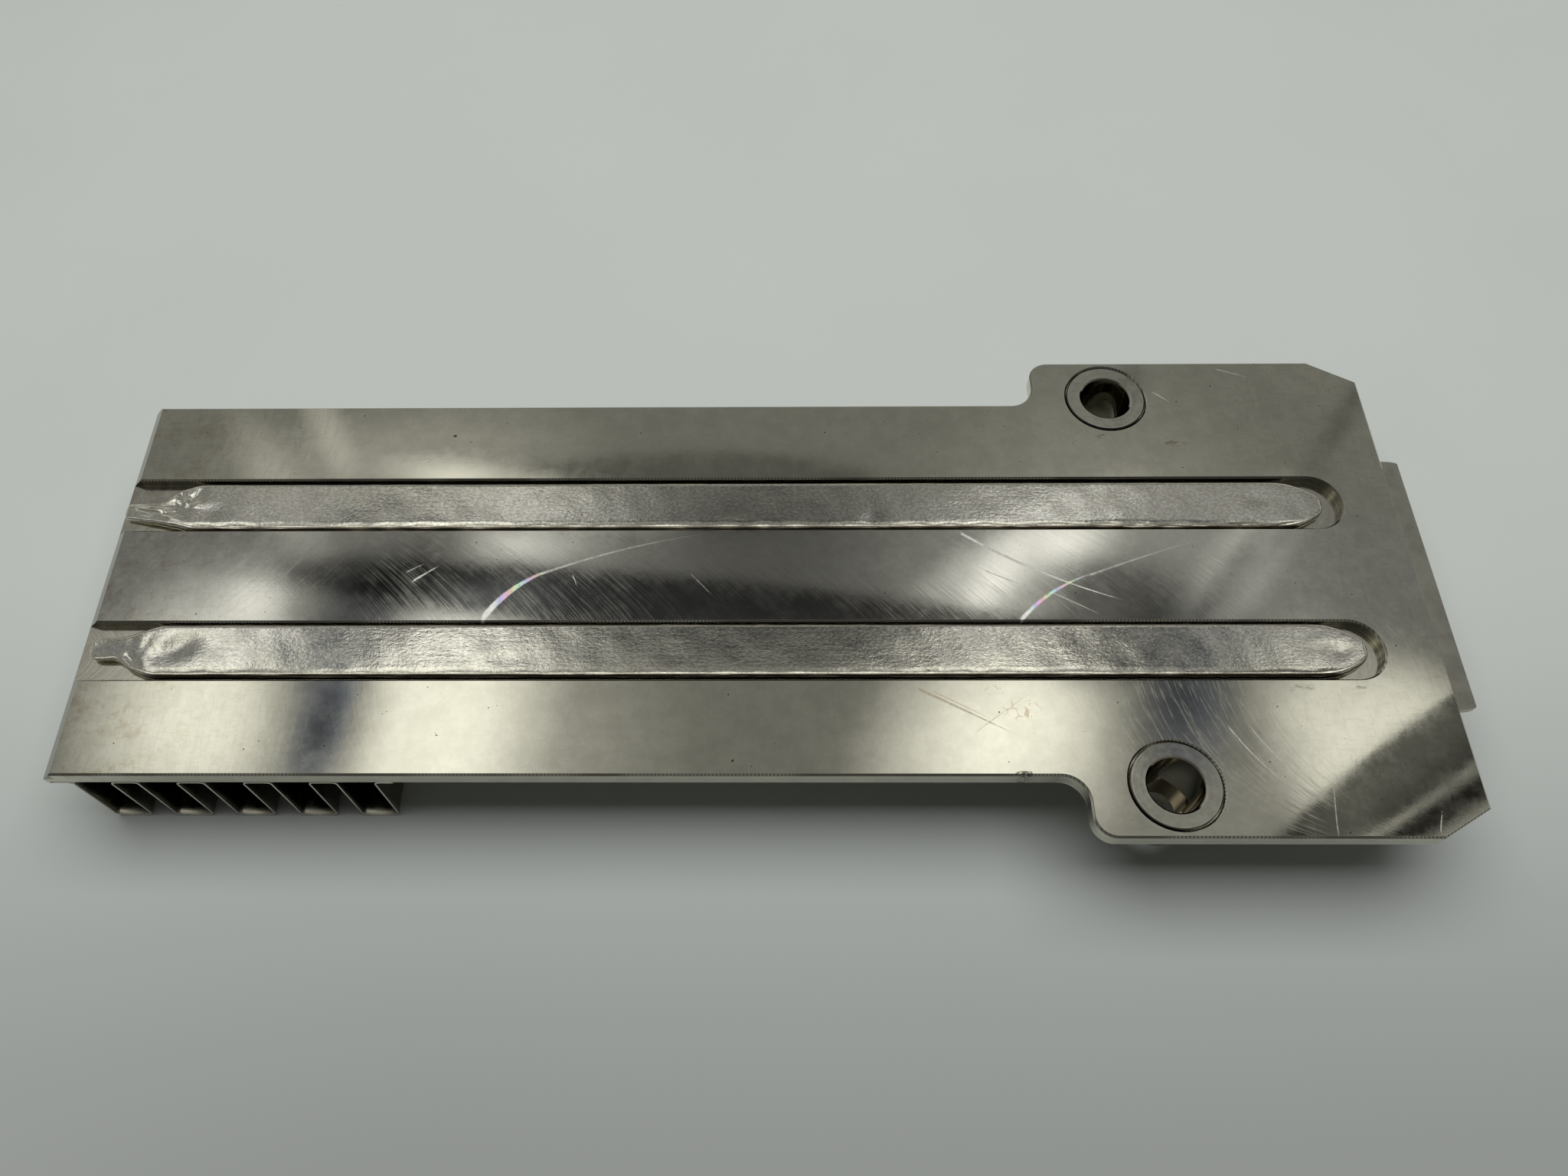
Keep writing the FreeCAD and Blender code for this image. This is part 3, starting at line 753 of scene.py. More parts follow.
@dataclass(frozen=True)
class PlateFinish:
    """Semi-bright nickel over fly-cut aluminium: swirl lines, mottling, scratches, stains and toothed edges.

    All in millimetres. A pair of places says where something sets in and where it is full. chamfer, floor,
    wall_top, top_edge and bevel_rise are heights, and each oval is its middle and its half sizes. The
    chamfers, groove walls and left bevel are darkened as painted shade, and some scratches are glints painted
    in white and pale hues.
    """

    dull: tuple[float, float, float] = (0.59, 0.575, 0.475)
    clean: tuple[float, float, float] = (0.675, 0.66, 0.55)
    hatched: tuple[float, float, float] = (0.46, 0.44, 0.35)
    greasy: tuple[float, float, float] = (0.24, 0.21, 0.15)
    bevel_painted_shade: tuple[float, float, float] = (0.27, 0.255, 0.215)
    wall_painted_shade: tuple[float, float, float] = (0.2, 0.185, 0.14)
    floor_tone: tuple[float, float, float] = (0.45, 0.43, 0.35)
    gloss: tuple[float, float] = (0.03, 0.06)
    hair_gloss: float = 0.085
    edge_gloss: float = 0.12
    wide: Sweep = Sweep(62.0, -46.0, -1.0)
    back: Sweep = Sweep(48.0, 30.0, -1.0)
    tight: Sweep = Sweep(26.0, -14.0, 1.0)
    floor_cut: Sweep = Sweep(4.8, 12.25, -1.0)
    line_depth: float = 0.0005
    peel_depth: float = 0.0007
    wave_depth: float = 0.0012
    floor_depth: float = 0.006
    near_land: tuple[float, float] = (-8.0, -14.0)
    ring_start: tuple[float, float] = (-9.0, -3.0)
    ring_end: tuple[float, float] = (24.0, 10.0)
    hair_start: tuple[float, float] = (-120.0, -108.0)
    hair_land: tuple[float, float] = (14.0, 6.0)
    brush_end: tuple[float, float] = (-112.0, -122.0)
    stain_end: tuple[float, float] = (-128.0, -141.0)
    left_hatch: tuple[float, float] = (-112.0, -128.0)
    right_hatch: tuple[float, float] = (12.0, 24.0)
    chamfer: tuple[float, float] = (15.72, 15.97)
    top_edge: tuple[float, float] = (15.98, 15.9)
    floor: tuple[float, float] = (14.4, 14.6)
    wall_top: float = 15.7
    groove_reach: tuple[float, float] = (7.6, 16.9)
    bevel_end: tuple[float, float] = (-149.25, -149.35)
    bevel_rise: tuple[float, float] = (14.52, 14.56)
    tooth_scale: float = 0.62
    ear_teeth: tuple[float, float, float, float] = (5.4, -31.0, 2.2, 5.0)
    smudges: tuple[tuple[float, float, float, float], ...] = (
        (9.4, 23.4, 2.6, 1.0),
        (19.2, -18.1, 2.4, 0.7),
        (27.5, -18.0, 0.9, 0.5),
        (-1.5, 24.6, 1.2, 0.6),
    )
    crazed: tuple[tuple[float, float, float, float], ...] = (
        (-19.0, -21.3, 3.2, 2.0),
        (-22.5, -18.6, 1.6, 1.0),
    )
    nicked: tuple[tuple[float, float, float, float], ...] = (
        (-19.6, -30.5, 1.6, 0.45),
        (-102.0, 25.0, 0.4, 0.3),
    )

    def build(self) -> bpy.types.Material:
        """Makes the material: lines, mottle, scratches, stains, then the cut edges and groove floors.

        Returns:
            The material.
        """
        coat = Coat("plate_nickel")
        bench = coat.bench
        hairs = self.tool_marks(coat)
        mottle = bench.noise(coat.place, 0.35, 5.0, 0.65)
        gloss = bench.sum(bench.ramp(mottle, 0.3, 0.7, *self.gloss),
                          bench.math("MULTIPLY", hairs, self.hair_gloss))
        tone = bench.blend(bench.ramp(mottle, 0.32, 0.68), self.dull, self.clean)
        broken = bench.ramp(bench.noise(coat.place, 1.1, 3.0, 0.7), 0.3, 0.6, 0.45, 1.0)
        metal: Feed = 1.0
        for one in SCRATCHES:
            mark = one.mask(coat, broken)
            # Painted glints drop nearly all metal, so their painted colour shows as a bright diffuse line
            matt = bench.math("MULTIPLY", mark, 0.95 if one.rainbow else 0.5)
            metal = bench.math("SUBTRACT", metal, matt)
            gloss = bench.math("ADD", gloss, bench.math("MULTIPLY", mark, one.gloss))
            tone = bench.blend(mark, tone, one.colour(coat))
        tone = self.stained(coat, tone)
        return coat.finish(*self.edges(coat, tone, gloss), bench.math("MAXIMUM", metal, 0.0))

    def tool_marks(self, coat: Coat) -> bpy.types.NodeSocket:
        """Presses the fly-cutter's lines in and works out the hairlines that scatter the light.

        The near land has tight arcs, the rest wide ones, and a brushed patch crosses them at the left end.

        Args:
            coat: The coat.

        Returns:
            How strongly hairlines show at a point.
        """
        bench = coat.bench
        near = bench.ramp(coat.y, *self.near_land)
        swirl = bench.ramp(coat.x, *self.ring_start)
        swirl = bench.math("MULTIPLY", swirl, bench.ramp(coat.x, *self.ring_end))
        wide = coat.marks(self.wide, 0.42)
        tight = coat.marks(self.tight, 0.5, 40.0)
        coat.press(bench.node("Mix", {0: near, 2: wide, 3: tight}).outputs[0], self.line_depth)
        coat.press(bench.noise(coat.place, 0.9, 3.0, 0.6), self.peel_depth)
        coat.press(bench.noise(coat.place, 0.12, 3.0), self.wave_depth)
        patchy = bench.ramp(bench.noise(coat.place, 0.07, 3.0, 0.6), 0.4, 0.62, 0.45, 1.0)
        fine = coat.hairs(coat.marks(self.wide, 0.5, 20.0), 0.06)
        fine = bench.math("MULTIPLY", fine, patchy)
        fine = bench.math("MULTIPLY", fine, bench.ramp(coat.x, *self.hair_start))
        fine = bench.math("MULTIPLY", fine, bench.ramp(coat.y, *self.hair_land, 0.08, 0.62))
        brushed = bench.ramp(coat.marks(self.back, 0.8, 90.0), 0.45, 0.68)
        brushed = bench.math("MULTIPLY", brushed, bench.ramp(coat.x, *self.brush_end, 0.0, 0.4))
        ringed = coat.hairs(coat.marks(self.tight, 1.0, 70.0), 0.035)
        ringed = bench.math("MULTIPLY", ringed, bench.sum(swirl, 0.06))
        return bench.sum(bench.node("Mix", {0: near, 2: fine, 3: ringed}).outputs[0], brushed)

    def stained(self, coat: Coat, tone: bpy.types.NodeSocket) -> bpy.types.NodeSocket:
        """Lays cross-hatched mottling, brown stains, crazing, smudges, specks and nicks over a tone.

        Args:
            coat: The coat.
            tone: The tone of the clean metal.

        Returns:
            The stained tone.
        """
        bench = coat.bench
        ends = bench.sum(bench.ramp(coat.x, *self.left_hatch), bench.ramp(coat.x, *self.right_hatch), 0.25)
        cross = bench.math("MAXIMUM", bench.noise(coat.stretched(0.4, 1.6, 1.0), 1.0, 3.0, 0.75),
                           bench.noise(coat.stretched(1.6, 0.4, 1.0), 1.0, 3.0, 0.75))
        hatch = bench.math("MULTIPLY", bench.ramp(cross, 0.5, 0.68, 0.0, 0.32), ends)
        tone = bench.blend(hatch, tone, self.hatched)
        speckle = bench.ramp(bench.noise(coat.place, 1.5, 3.0, 0.7), 0.4, 0.7, 0.0, 0.35)
        tone = bench.blend(speckle, tone, self.dull)
        stain = bench.ramp(bench.noise(coat.place, 0.3, 5.0, 0.75), 0.5, 0.66)
        stain = bench.math("MULTIPLY", stain, bench.ramp(coat.x, *self.stain_end))
        tone = bench.blend(bench.math("MULTIPLY", stain, 0.45), tone, RUST)
        cells = bench.node("TexVoronoi", {"Vector": coat.place, "Scale": 0.8}, feature="DISTANCE_TO_EDGE")
        crazing = bench.math("MULTIPLY", bench.ramp(cells.outputs[0], 0.09, 0.03), coat.blots(self.crazed))
        crazing = bench.math("MULTIPLY", crazing, bench.ramp(bench.noise(coat.place, 0.8), 0.4, 0.55))
        tone = bench.blend(bench.math("MULTIPLY", crazing, 0.7), tone, RUST)
        grime = bench.ramp(bench.noise(coat.stretched(0.6, 1.4, 1.0), 1.0, 4.0, 0.7), 0.5, 0.58)
        smudge = bench.math("MULTIPLY", coat.blots(self.smudges), bench.math("MULTIPLY", grime, 0.55))
        tone = bench.blend(smudge, tone, self.greasy)
        specks = bench.ramp(bench.noise(coat.place, 1.4, 2.0, 0.5), 0.745, 0.79)
        nicks = bench.ramp(bench.noise(coat.place, 2.2), 0.46, 0.5)
        nicks = bench.math("MULTIPLY", coat.blots(self.nicked), nicks)
        return bench.blend(bench.math("MAXIMUM", specks, nicks), tone, SOOT_AND_SHADE)

    def edges(self, coat: Coat, tone: Feed, gloss: Feed) -> tuple[Feed, Feed]:
        """Darkens the chamfers, groove walls and left bevel as painted shade, cuts tooth marks into parts of
        the chamfers, and lays mill arcs on the groove floors.

        Args:
            coat: The coat.
            tone: The tone of the top.
            gloss: The roughness of the top.

        Returns:
            Tone and roughness for the whole plate.
        """
        bench = coat.bench
        chamfer = coat.band(coat.z, *self.chamfer, 0.02)
        below = bench.ramp(coat.z, *self.top_edge)
        comb = {"Vector": coat.place, "Scale": self.tooth_scale, "Distortion": 0.3, "Detail": 1.0}
        teeth = bench.node("TexWave", comb, bands_direction="X").outputs[1]
        ear_teeth = bench.node("TexWave", comb, bands_direction="Y").outputs[1]
        by_ear = coat.blot(*self.ear_teeth)
        teeth = bench.node("Mix", {0: by_ear, 2: teeth, 3: ear_teeth}).outputs[0]
        chatter = bench.ramp(bench.noise(coat.stretched(0.035, 0.02, 0.0), 1.0, 2.0), 0.47, 0.53)
        chatter = bench.math("MAXIMUM", chatter, by_ear)
        cut = bench.math("MULTIPLY", chatter, bench.ramp(teeth, 0.3, 0.7, 0.25, 1.0))
        # Painted shade: the chamfers are darkened, less where the tooth marks cut them
        dark = bench.math("MULTIPLY", chamfer, bench.math("SUBTRACT", 1.0, bench.math("MULTIPLY", cut, 0.8)))
        tone = bench.blend(bench.math("MULTIPLY", dark, 0.8), tone, SOOT_AND_SHADE)
        # Painted shade: the left end's bevel is darkened
        bevel = bench.ramp(coat.x, *self.bevel_end)
        bevel = bench.math("MULTIPLY", bevel, bench.ramp(coat.z, *self.bevel_rise))
        tone = bench.blend(bench.math("MULTIPLY", bevel, below), tone, self.bevel_painted_shade)
        floor = coat.band(coat.z, *self.floor, 0.03)
        away = bench.math("ABSOLUTE", coat.y)
        # Painted shade: the groove walls are darkened
        wall = coat.band(coat.z, self.floor[1], self.wall_top, 0.03)
        wall = bench.math("MULTIPLY", wall, coat.band(away, *self.groove_reach, 0.1))
        tone = bench.blend(bench.math("MULTIPLY", wall, 0.55), tone, self.wall_painted_shade)
        arcs = coat.marks(self.floor_cut, 0.3, 0.0, away)
        coat.press(bench.math("MULTIPLY", arcs, floor), self.floor_depth)
        worn = bench.math("MULTIPLY", floor, bench.ramp(arcs, 0.4, 0.6, 0.15, 0.6))
        tone = bench.blend(worn, tone, self.floor_tone)
        return tone, bench.sum(gloss, bench.math("MULTIPLY", below, self.edge_gloss))


@dataclass(frozen=True)
class PipeFinish:
    """Satin nickel over pressed copper: flakes, drawn-out streaks, and flanks below a bright crest darkened
    as painted shade.
    """

    dull: tuple[float, float, float] = (0.62, 0.6, 0.505)
    clean: tuple[float, float, float] = (0.83, 0.81, 0.7)
    flank_shade: tuple[float, float, float] = (0.085, 0.07, 0.05)
    scraped: tuple[float, float, float] = (0.36, 0.33, 0.26)
    gloss: tuple[float, float] = (0.075, 0.135)
    middle: float = 12.1
    flank: tuple[float, float] = (3.62, 3.82)

    def build(self) -> bpy.types.Material:
        """Makes the material.

        Returns:
            The material.
        """
        coat = Coat("pipe_nickel")
        bench = coat.bench
        flakes = coat.stretched(0.8, 1.2, 1.0)
        coat.press(bench.noise(flakes, 1.0, 2.0, 0.5), 0.008)
        coat.press(bench.noise(flakes, 2.6, 2.0, 0.6), 0.011)
        coat.press(bench.noise(coat.stretched(0.05, 1.0, 1.0), 1.8, 2.0), 0.006)
        mottle = bench.noise(coat.place, 0.3, 4.0, 0.65)
        grain = bench.noise(flakes, 2.4, 3.0, 0.75)
        tone = bench.blend(bench.ramp(grain, 0.38, 0.62), self.dull, self.clean)
        cloudy = bench.ramp(mottle, 0.45, 0.7, 0.0, 0.35)
        tone = bench.blend(cloudy, tone, self.dull)
        pits = bench.ramp(bench.noise(flakes, 1.7, 2.0, 0.6), 0.68, 0.75)
        tone = bench.blend(pits, tone, self.scraped)
        # Painted shade: the pipe's flanks, in the gap beside the groove wall, are darkened, with striations
        # along X
        off = bench.math("ABSOLUTE", bench.math("SUBTRACT", bench.math("ABSOLUTE", coat.y), self.middle))
        flank = bench.math("MULTIPLY", bench.ramp(off, *self.flank), bench.ramp(coat.x, -142.0, -138.5))
        streaks = bench.noise(coat.stretched(0.12, 2.0, 4.0), 1.0, 3.0, 0.7)
        side = bench.blend(bench.ramp(streaks, 0.52, 0.64), self.flank_shade, self.scraped)
        return coat.finish(bench.blend(flank, tone, side), bench.ramp(mottle, 0.3, 0.7, *self.gloss))


@dataclass(frozen=True)
class SheetFinish:
    """Nickel-plated rolled sheet: faint rolling lines, burnished cut edges painted lighter, partly a painted
    highlight, and walls inside the folds darkened as painted shade.
    """

    edge: tuple[float, float, float] = (0.7, 0.69, 0.6)
    skin: tuple[float, float, float] = (0.6, 0.585, 0.5)
    recess_shade: tuple[float, float, float] = (0.2, 0.19, 0.155)
    cut_edge: float = 30.9

    def build(self) -> bpy.types.Material:
        """Makes the material.

        Returns:
            The material.
        """
        coat = Coat("sheet_nickel")
        bench = coat.bench
        coat.press(bench.noise(coat.stretched(1.0, 0.05, 1.0), 2.0, 2.0), 0.006)
        mottle = bench.noise(coat.place, 0.5, 3.0, 0.6)
        # Painted shade: the walls inside the folds, facing up or above the bellies, are darkened, and a
        # random mottle darkens towards the same tone
        facing_up = bench.parts(bench.node("NewGeometry").outputs["Normal"])[2]
        inside = bench.math("MAXIMUM", bench.ramp(facing_up, 0.2, 0.5), bench.ramp(coat.z, 0.35, 0.6))
        folds = bench.math("MULTIPLY", coat.band(coat.x, -147.3, -106.4, 0.1), inside)
        tone = bench.blend(folds, self.skin, self.recess_shade)
        tone = bench.blend(bench.ramp(mottle, 0.4, 0.7, 0.0, 0.2), tone, self.recess_shade)
        # The cut edges are lighter: burnished, and partly a painted highlight
        cut = bench.ramp(bench.math("ABSOLUTE", coat.y), self.cut_edge - 0.06, self.cut_edge - 0.03)
        return coat.finish(bench.blend(cut, tone, self.edge), bench.ramp(mottle, 0.3, 0.7, 0.16, 0.28))


@dataclass(frozen=True)
class TurnedFinish:
    """Turned steel, nickel plated: fine rings about each cup's own axis, painted shade inside the bore and on
    the rim.
    """

    dull: tuple[float, float, float] = (0.57, 0.555, 0.465)
    clean: tuple[float, float, float] = (0.66, 0.645, 0.545)
    recess_shade: tuple[float, float, float] = (0.3, 0.275, 0.215)
    axis: float = 32.03
    bore: float = 3.8

    def build(self) -> bpy.types.Material:
        """Makes the material.

        Returns:
            The material.
        """
        coat = Coat("turned_nickel")
        bench = coat.bench
        across = bench.math("SUBTRACT", bench.math("ABSOLUTE", coat.y), self.axis)
        radius = bench.length(bench.node("CombineXYZ", {0: coat.x, 1: across}).outputs[0])
        rings = bench.node("CombineXYZ", {0: radius, 1: coat.z})
        coat.press(bench.noise(rings.outputs[0], 2.2, 2.0), 0.0016)
        coat.press(bench.noise(coat.place, 0.6, 3.0), 0.002)
        mottle = bench.noise(coat.place, 0.8, 3.0, 0.6)
        tone = bench.blend(bench.ramp(mottle, 0.3, 0.7), self.dull, self.clean)
        # Painted shade: the bore is darkened
        tone = bench.blend(bench.ramp(radius, self.bore + 0.3, self.bore + 0.05), tone, self.recess_shade)
        # Painted shade: the flange rim by the ring gap is darkened
        rim = bench.math("MULTIPLY", coat.band(radius, 5.92, 6.2, 0.03), bench.ramp(coat.z, 14.0, 14.5))
        tone = bench.blend(rim, tone, SOOT_AND_SHADE)
        return coat.finish(tone, bench.ramp(mottle, 0.3, 0.7, 0.04, 0.09))


@dataclass(frozen=True)
class BlockFinish:
    """Satin nickel over a sawn and milled block: an even fine grain."""

    dull: tuple[float, float, float] = (0.4, 0.39, 0.325)
    clean: tuple[float, float, float] = (0.47, 0.46, 0.385)

    def build(self) -> bpy.types.Material:
        """Makes the material.

        Returns:
            The material.
        """
        coat = Coat("block_nickel")
        bench = coat.bench
        coat.press(bench.noise(coat.place, 2.0, 2.0), 0.004)
        mottle = bench.noise(coat.place, 0.4, 4.0, 0.6)
        tone = bench.blend(bench.ramp(mottle, 0.3, 0.7), self.dull, self.clean)
        return coat.finish(tone, bench.ramp(mottle, 0.3, 0.7, 0.27, 0.35))


def dress_node(node: str, material: bpy.types.Material) -> None:
    """Gives a CAD node one material in all its slots.

    Args:
        node: The node's name.
        material: What it is dressed in.
    """
    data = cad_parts[node].data
    data.materials.clear()
    data.materials.append(material)


@dataclass(frozen=True)
class BasePlate:
    """The milled plate. Its CAD solid is already its full shape, so it is only dressed."""

    node: str = "base_plate"
    finish: PlateFinish = PlateFinish()

    def build(self) -> str:
        """Dresses the plate and returns its name."""
        dress_node(self.node, self.finish.build())
        return self.node


@dataclass(frozen=True)
class ScrewCup:
    """A turned cup for a spring screw. Its CAD solid is already its full shape, so it is only dressed."""

    side: Side
    finish: TurnedFinish = TurnedFinish()

    def build(self) -> str:
        """Dresses the cup.

        Returns:
            Its name.
        """
        node = f"screw_cup_{self.side.value}"
        dress_node(node, self.finish.build())
        return node


@dataclass(frozen=True)
class ContactBlock:
    """The block under the plate. Its CAD solid is already its full shape, so it is only dressed."""

    node: str = "contact_block"
    finish: BlockFinish = BlockFinish()

    def build(self) -> str:
        """Dresses the block and returns its name."""
        dress_node(self.node, self.finish.build())
        return self.node


def closed_skin(rows: int, around: int) -> np.ndarray:
    """Vertex numbers of the four-sided faces of a tube of closed rings, with both ends capped.

    The rings run clockwise seen along the rows. A cap pairs point i with point around - 1 - i.

    Args:
        rows: How many rings there are.
        around: How many points each ring has, an even number.

    Returns:
        One row of four vertex numbers a face, pointing outwards.
    """
    ring = np.arange(around)
    row = np.arange(rows - 1)[:, None] * around
    one = row + ring
    two = row + np.roll(ring, -1)
    tube = np.stack([one, two, two + around, one + around], axis=-1).reshape(-1, 4)
    near = np.arange(around // 2 - 1)
    far = around - 1 - near
    start = np.stack([near + 1, near, far, far - 1], axis=-1)
    end = np.stack([near, near + 1, far - 1, far], axis=-1) + (rows - 1) * around
    return np.concatenate([tube, start, end])


@dataclass(frozen=True)
class FoldedFin:
    """One strip of sheet folded into square waves, with rounded cut edges and rippled walls.

    In millimetres: belly is the radius of the bellied fold bottoms, first the place of the first wall, and
    half the half width across the folds.
    """

    finish: SheetFinish = SheetFinish()
    thick: float = 0.25
    count: int = 5
    pitch: float = 8.94
    width: float = 5.27
    bend: float = 0.7
    belly: float = 7.5
    left_tab: float = 2.9
    right_tab: float = 2.5
    first: float = -147.5
    underside: float = 13.4
    half: float = 30.9
    ripple: float = 0.07
    edge_round: float = 0.05
    stations: int = 40

    def build(self, material: bpy.types.Material) -> bpy.types.Object:
        """Makes the fin as one closed skin and lets it stand for its CAD node.

        The profile is walked along the sheet's middle. At each of its points a ring crosses the sheet from
        the rear to the front edge and back underneath, and the walls ripple along the line of the folds.

        Args:
            material: The fin's finish.

        Returns:
            The piece.
        """
        along, rise, heading = self.profile()
        across, offset = self.ring()
        walls = np.sin(heading)[:, None] ** 2
        phase = along[:, None] * 0.9
        wave = np.sin(0.31 * across + phase) + 0.6 * np.sin(0.83 * across - 1.7 * phase)
        shift = offset + self.ripple * walls * wave
        x = along[:, None] - np.sin(heading)[:, None] * shift
        z = rise[:, None] + np.cos(heading)[:, None] * shift
        points = np.stack([x, np.broadcast_to(across, x.shape), z], axis=-1).reshape(-1, 3)
        piece = mesh_object("folded_sheet", points * MM, closed_skin(len(along), len(across)), smooth=True)
        piece.data.materials.append(material)
        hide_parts("folded_fin")
        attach(piece, BODY)
        return piece

    def ring(self) -> tuple[np.ndarray, np.ndarray]:
        """One ring round the sheet: straight across both faces, with a rounded cut edge at each end.

        Returns:
            Places across and distances from the sheet's middle.
        """
        flat = np.linspace(1, -1, self.stations) * (self.half - self.edge_round)
        side = self.thick / 2
        turn = np.radians([30.0, 60.0, 120.0, 150.0])
        cap_y = self.half - self.edge_round + self.edge_round * np.sin(turn)
        cap_s = side * np.array([0.87, 0.5, -0.5, -0.87])
        across = np.concatenate([flat, -cap_y, -flat, cap_y])
        offset = np.concatenate([0 * flat + side, cap_s, 0 * flat - side, -cap_s])
        return across, offset

    def profile(self) -> tuple[np.ndarray, np.ndarray, np.ndarray]:
        """Walks the sheet's middle line: straights and bends, each bend a turn at one radius.

        A bend from heading h through t has its points at radius * (sin(h + t) - sin(h), cos(h) - cos(h + t)).
        The belly of a fold runs on from the two bends beside it, sin(lean) = half flat / (belly - bend).

        Returns:
            Places along X, heights, and headings in radians.
        """
        half_flat = self.width / 2 - self.bend
        lean = math.asin(half_flat / (self.belly - self.bend))
        high = self.underside - self.thick / 2
        foot = self.thick / 2 + self.belly - (self.belly - self.bend) * math.cos(lean)
        wall = high - self.bend - foot
        between = self.pitch - self.width - 2 * self.bend
        quarter = math.pi / 2
        down = [(-quarter, self.bend), (0.0, wall), (quarter - lean, self.bend), (2 * lean, self.belly)]
        up = [(quarter - lean, self.bend), (0.0, wall), (-quarter, self.bend)]
        steps = [(0.0, self.left_tab - self.bend)]
        for fold in range(self.count):
            last = fold == self.count - 1
            steps += down + up + [(0.0, self.right_tab - self.bend if last else between)]
        spot = np.array([self.first - self.left_tab, high])
        heading = 0.0
        parts = [np.array([[spot[0], spot[1], heading]])]
        for turn, size in steps:
            share = np.linspace(0, 1, 9 if turn else 5)[1:]
            if turn:
                to = heading + turn * share
                move = math.copysign(size, turn) * np.stack(
                    [np.sin(to) - math.sin(heading), math.cos(heading) - np.cos(to)], axis=-1)
            else:
                to = heading + 0 * share
                move = size * share[:, None] * np.array([math.cos(heading), math.sin(heading)])
            parts.append(np.column_stack([spot + move, to]))
            spot = spot + move[-1]
            heading += turn
        walked = np.concatenate(parts)
        return walked[:, 0], walked[:, 1], walked[:, 2]


@dataclass(frozen=True)
class Dent:
    """A soft oval dent in the top of a pipe, in millimetres; a negative depth makes it a bump."""

    x: float
    y: float
    half_x: float
    half_y: float
    depth: float
    turn: float = 0.0

    def depth_at(self, x: np.ndarray, y: np.ndarray) -> np.ndarray:
        """How deep the dent is: its depth times a bell of the turned distance over the half sizes.

        Args:
            x: Places along X.
            y: Places across Y.

        Returns:
            The depth at each place.
        """
        angle = math.radians(self.turn)
        along = (x - self.x) * math.cos(angle) + (y - self.y) * math.sin(angle)
        across = (y - self.y) * math.cos(angle) - (x - self.x) * math.sin(angle)
        return self.depth * np.exp(-((along / self.half_x) ** 2) - (across / self.half_y) ** 2)


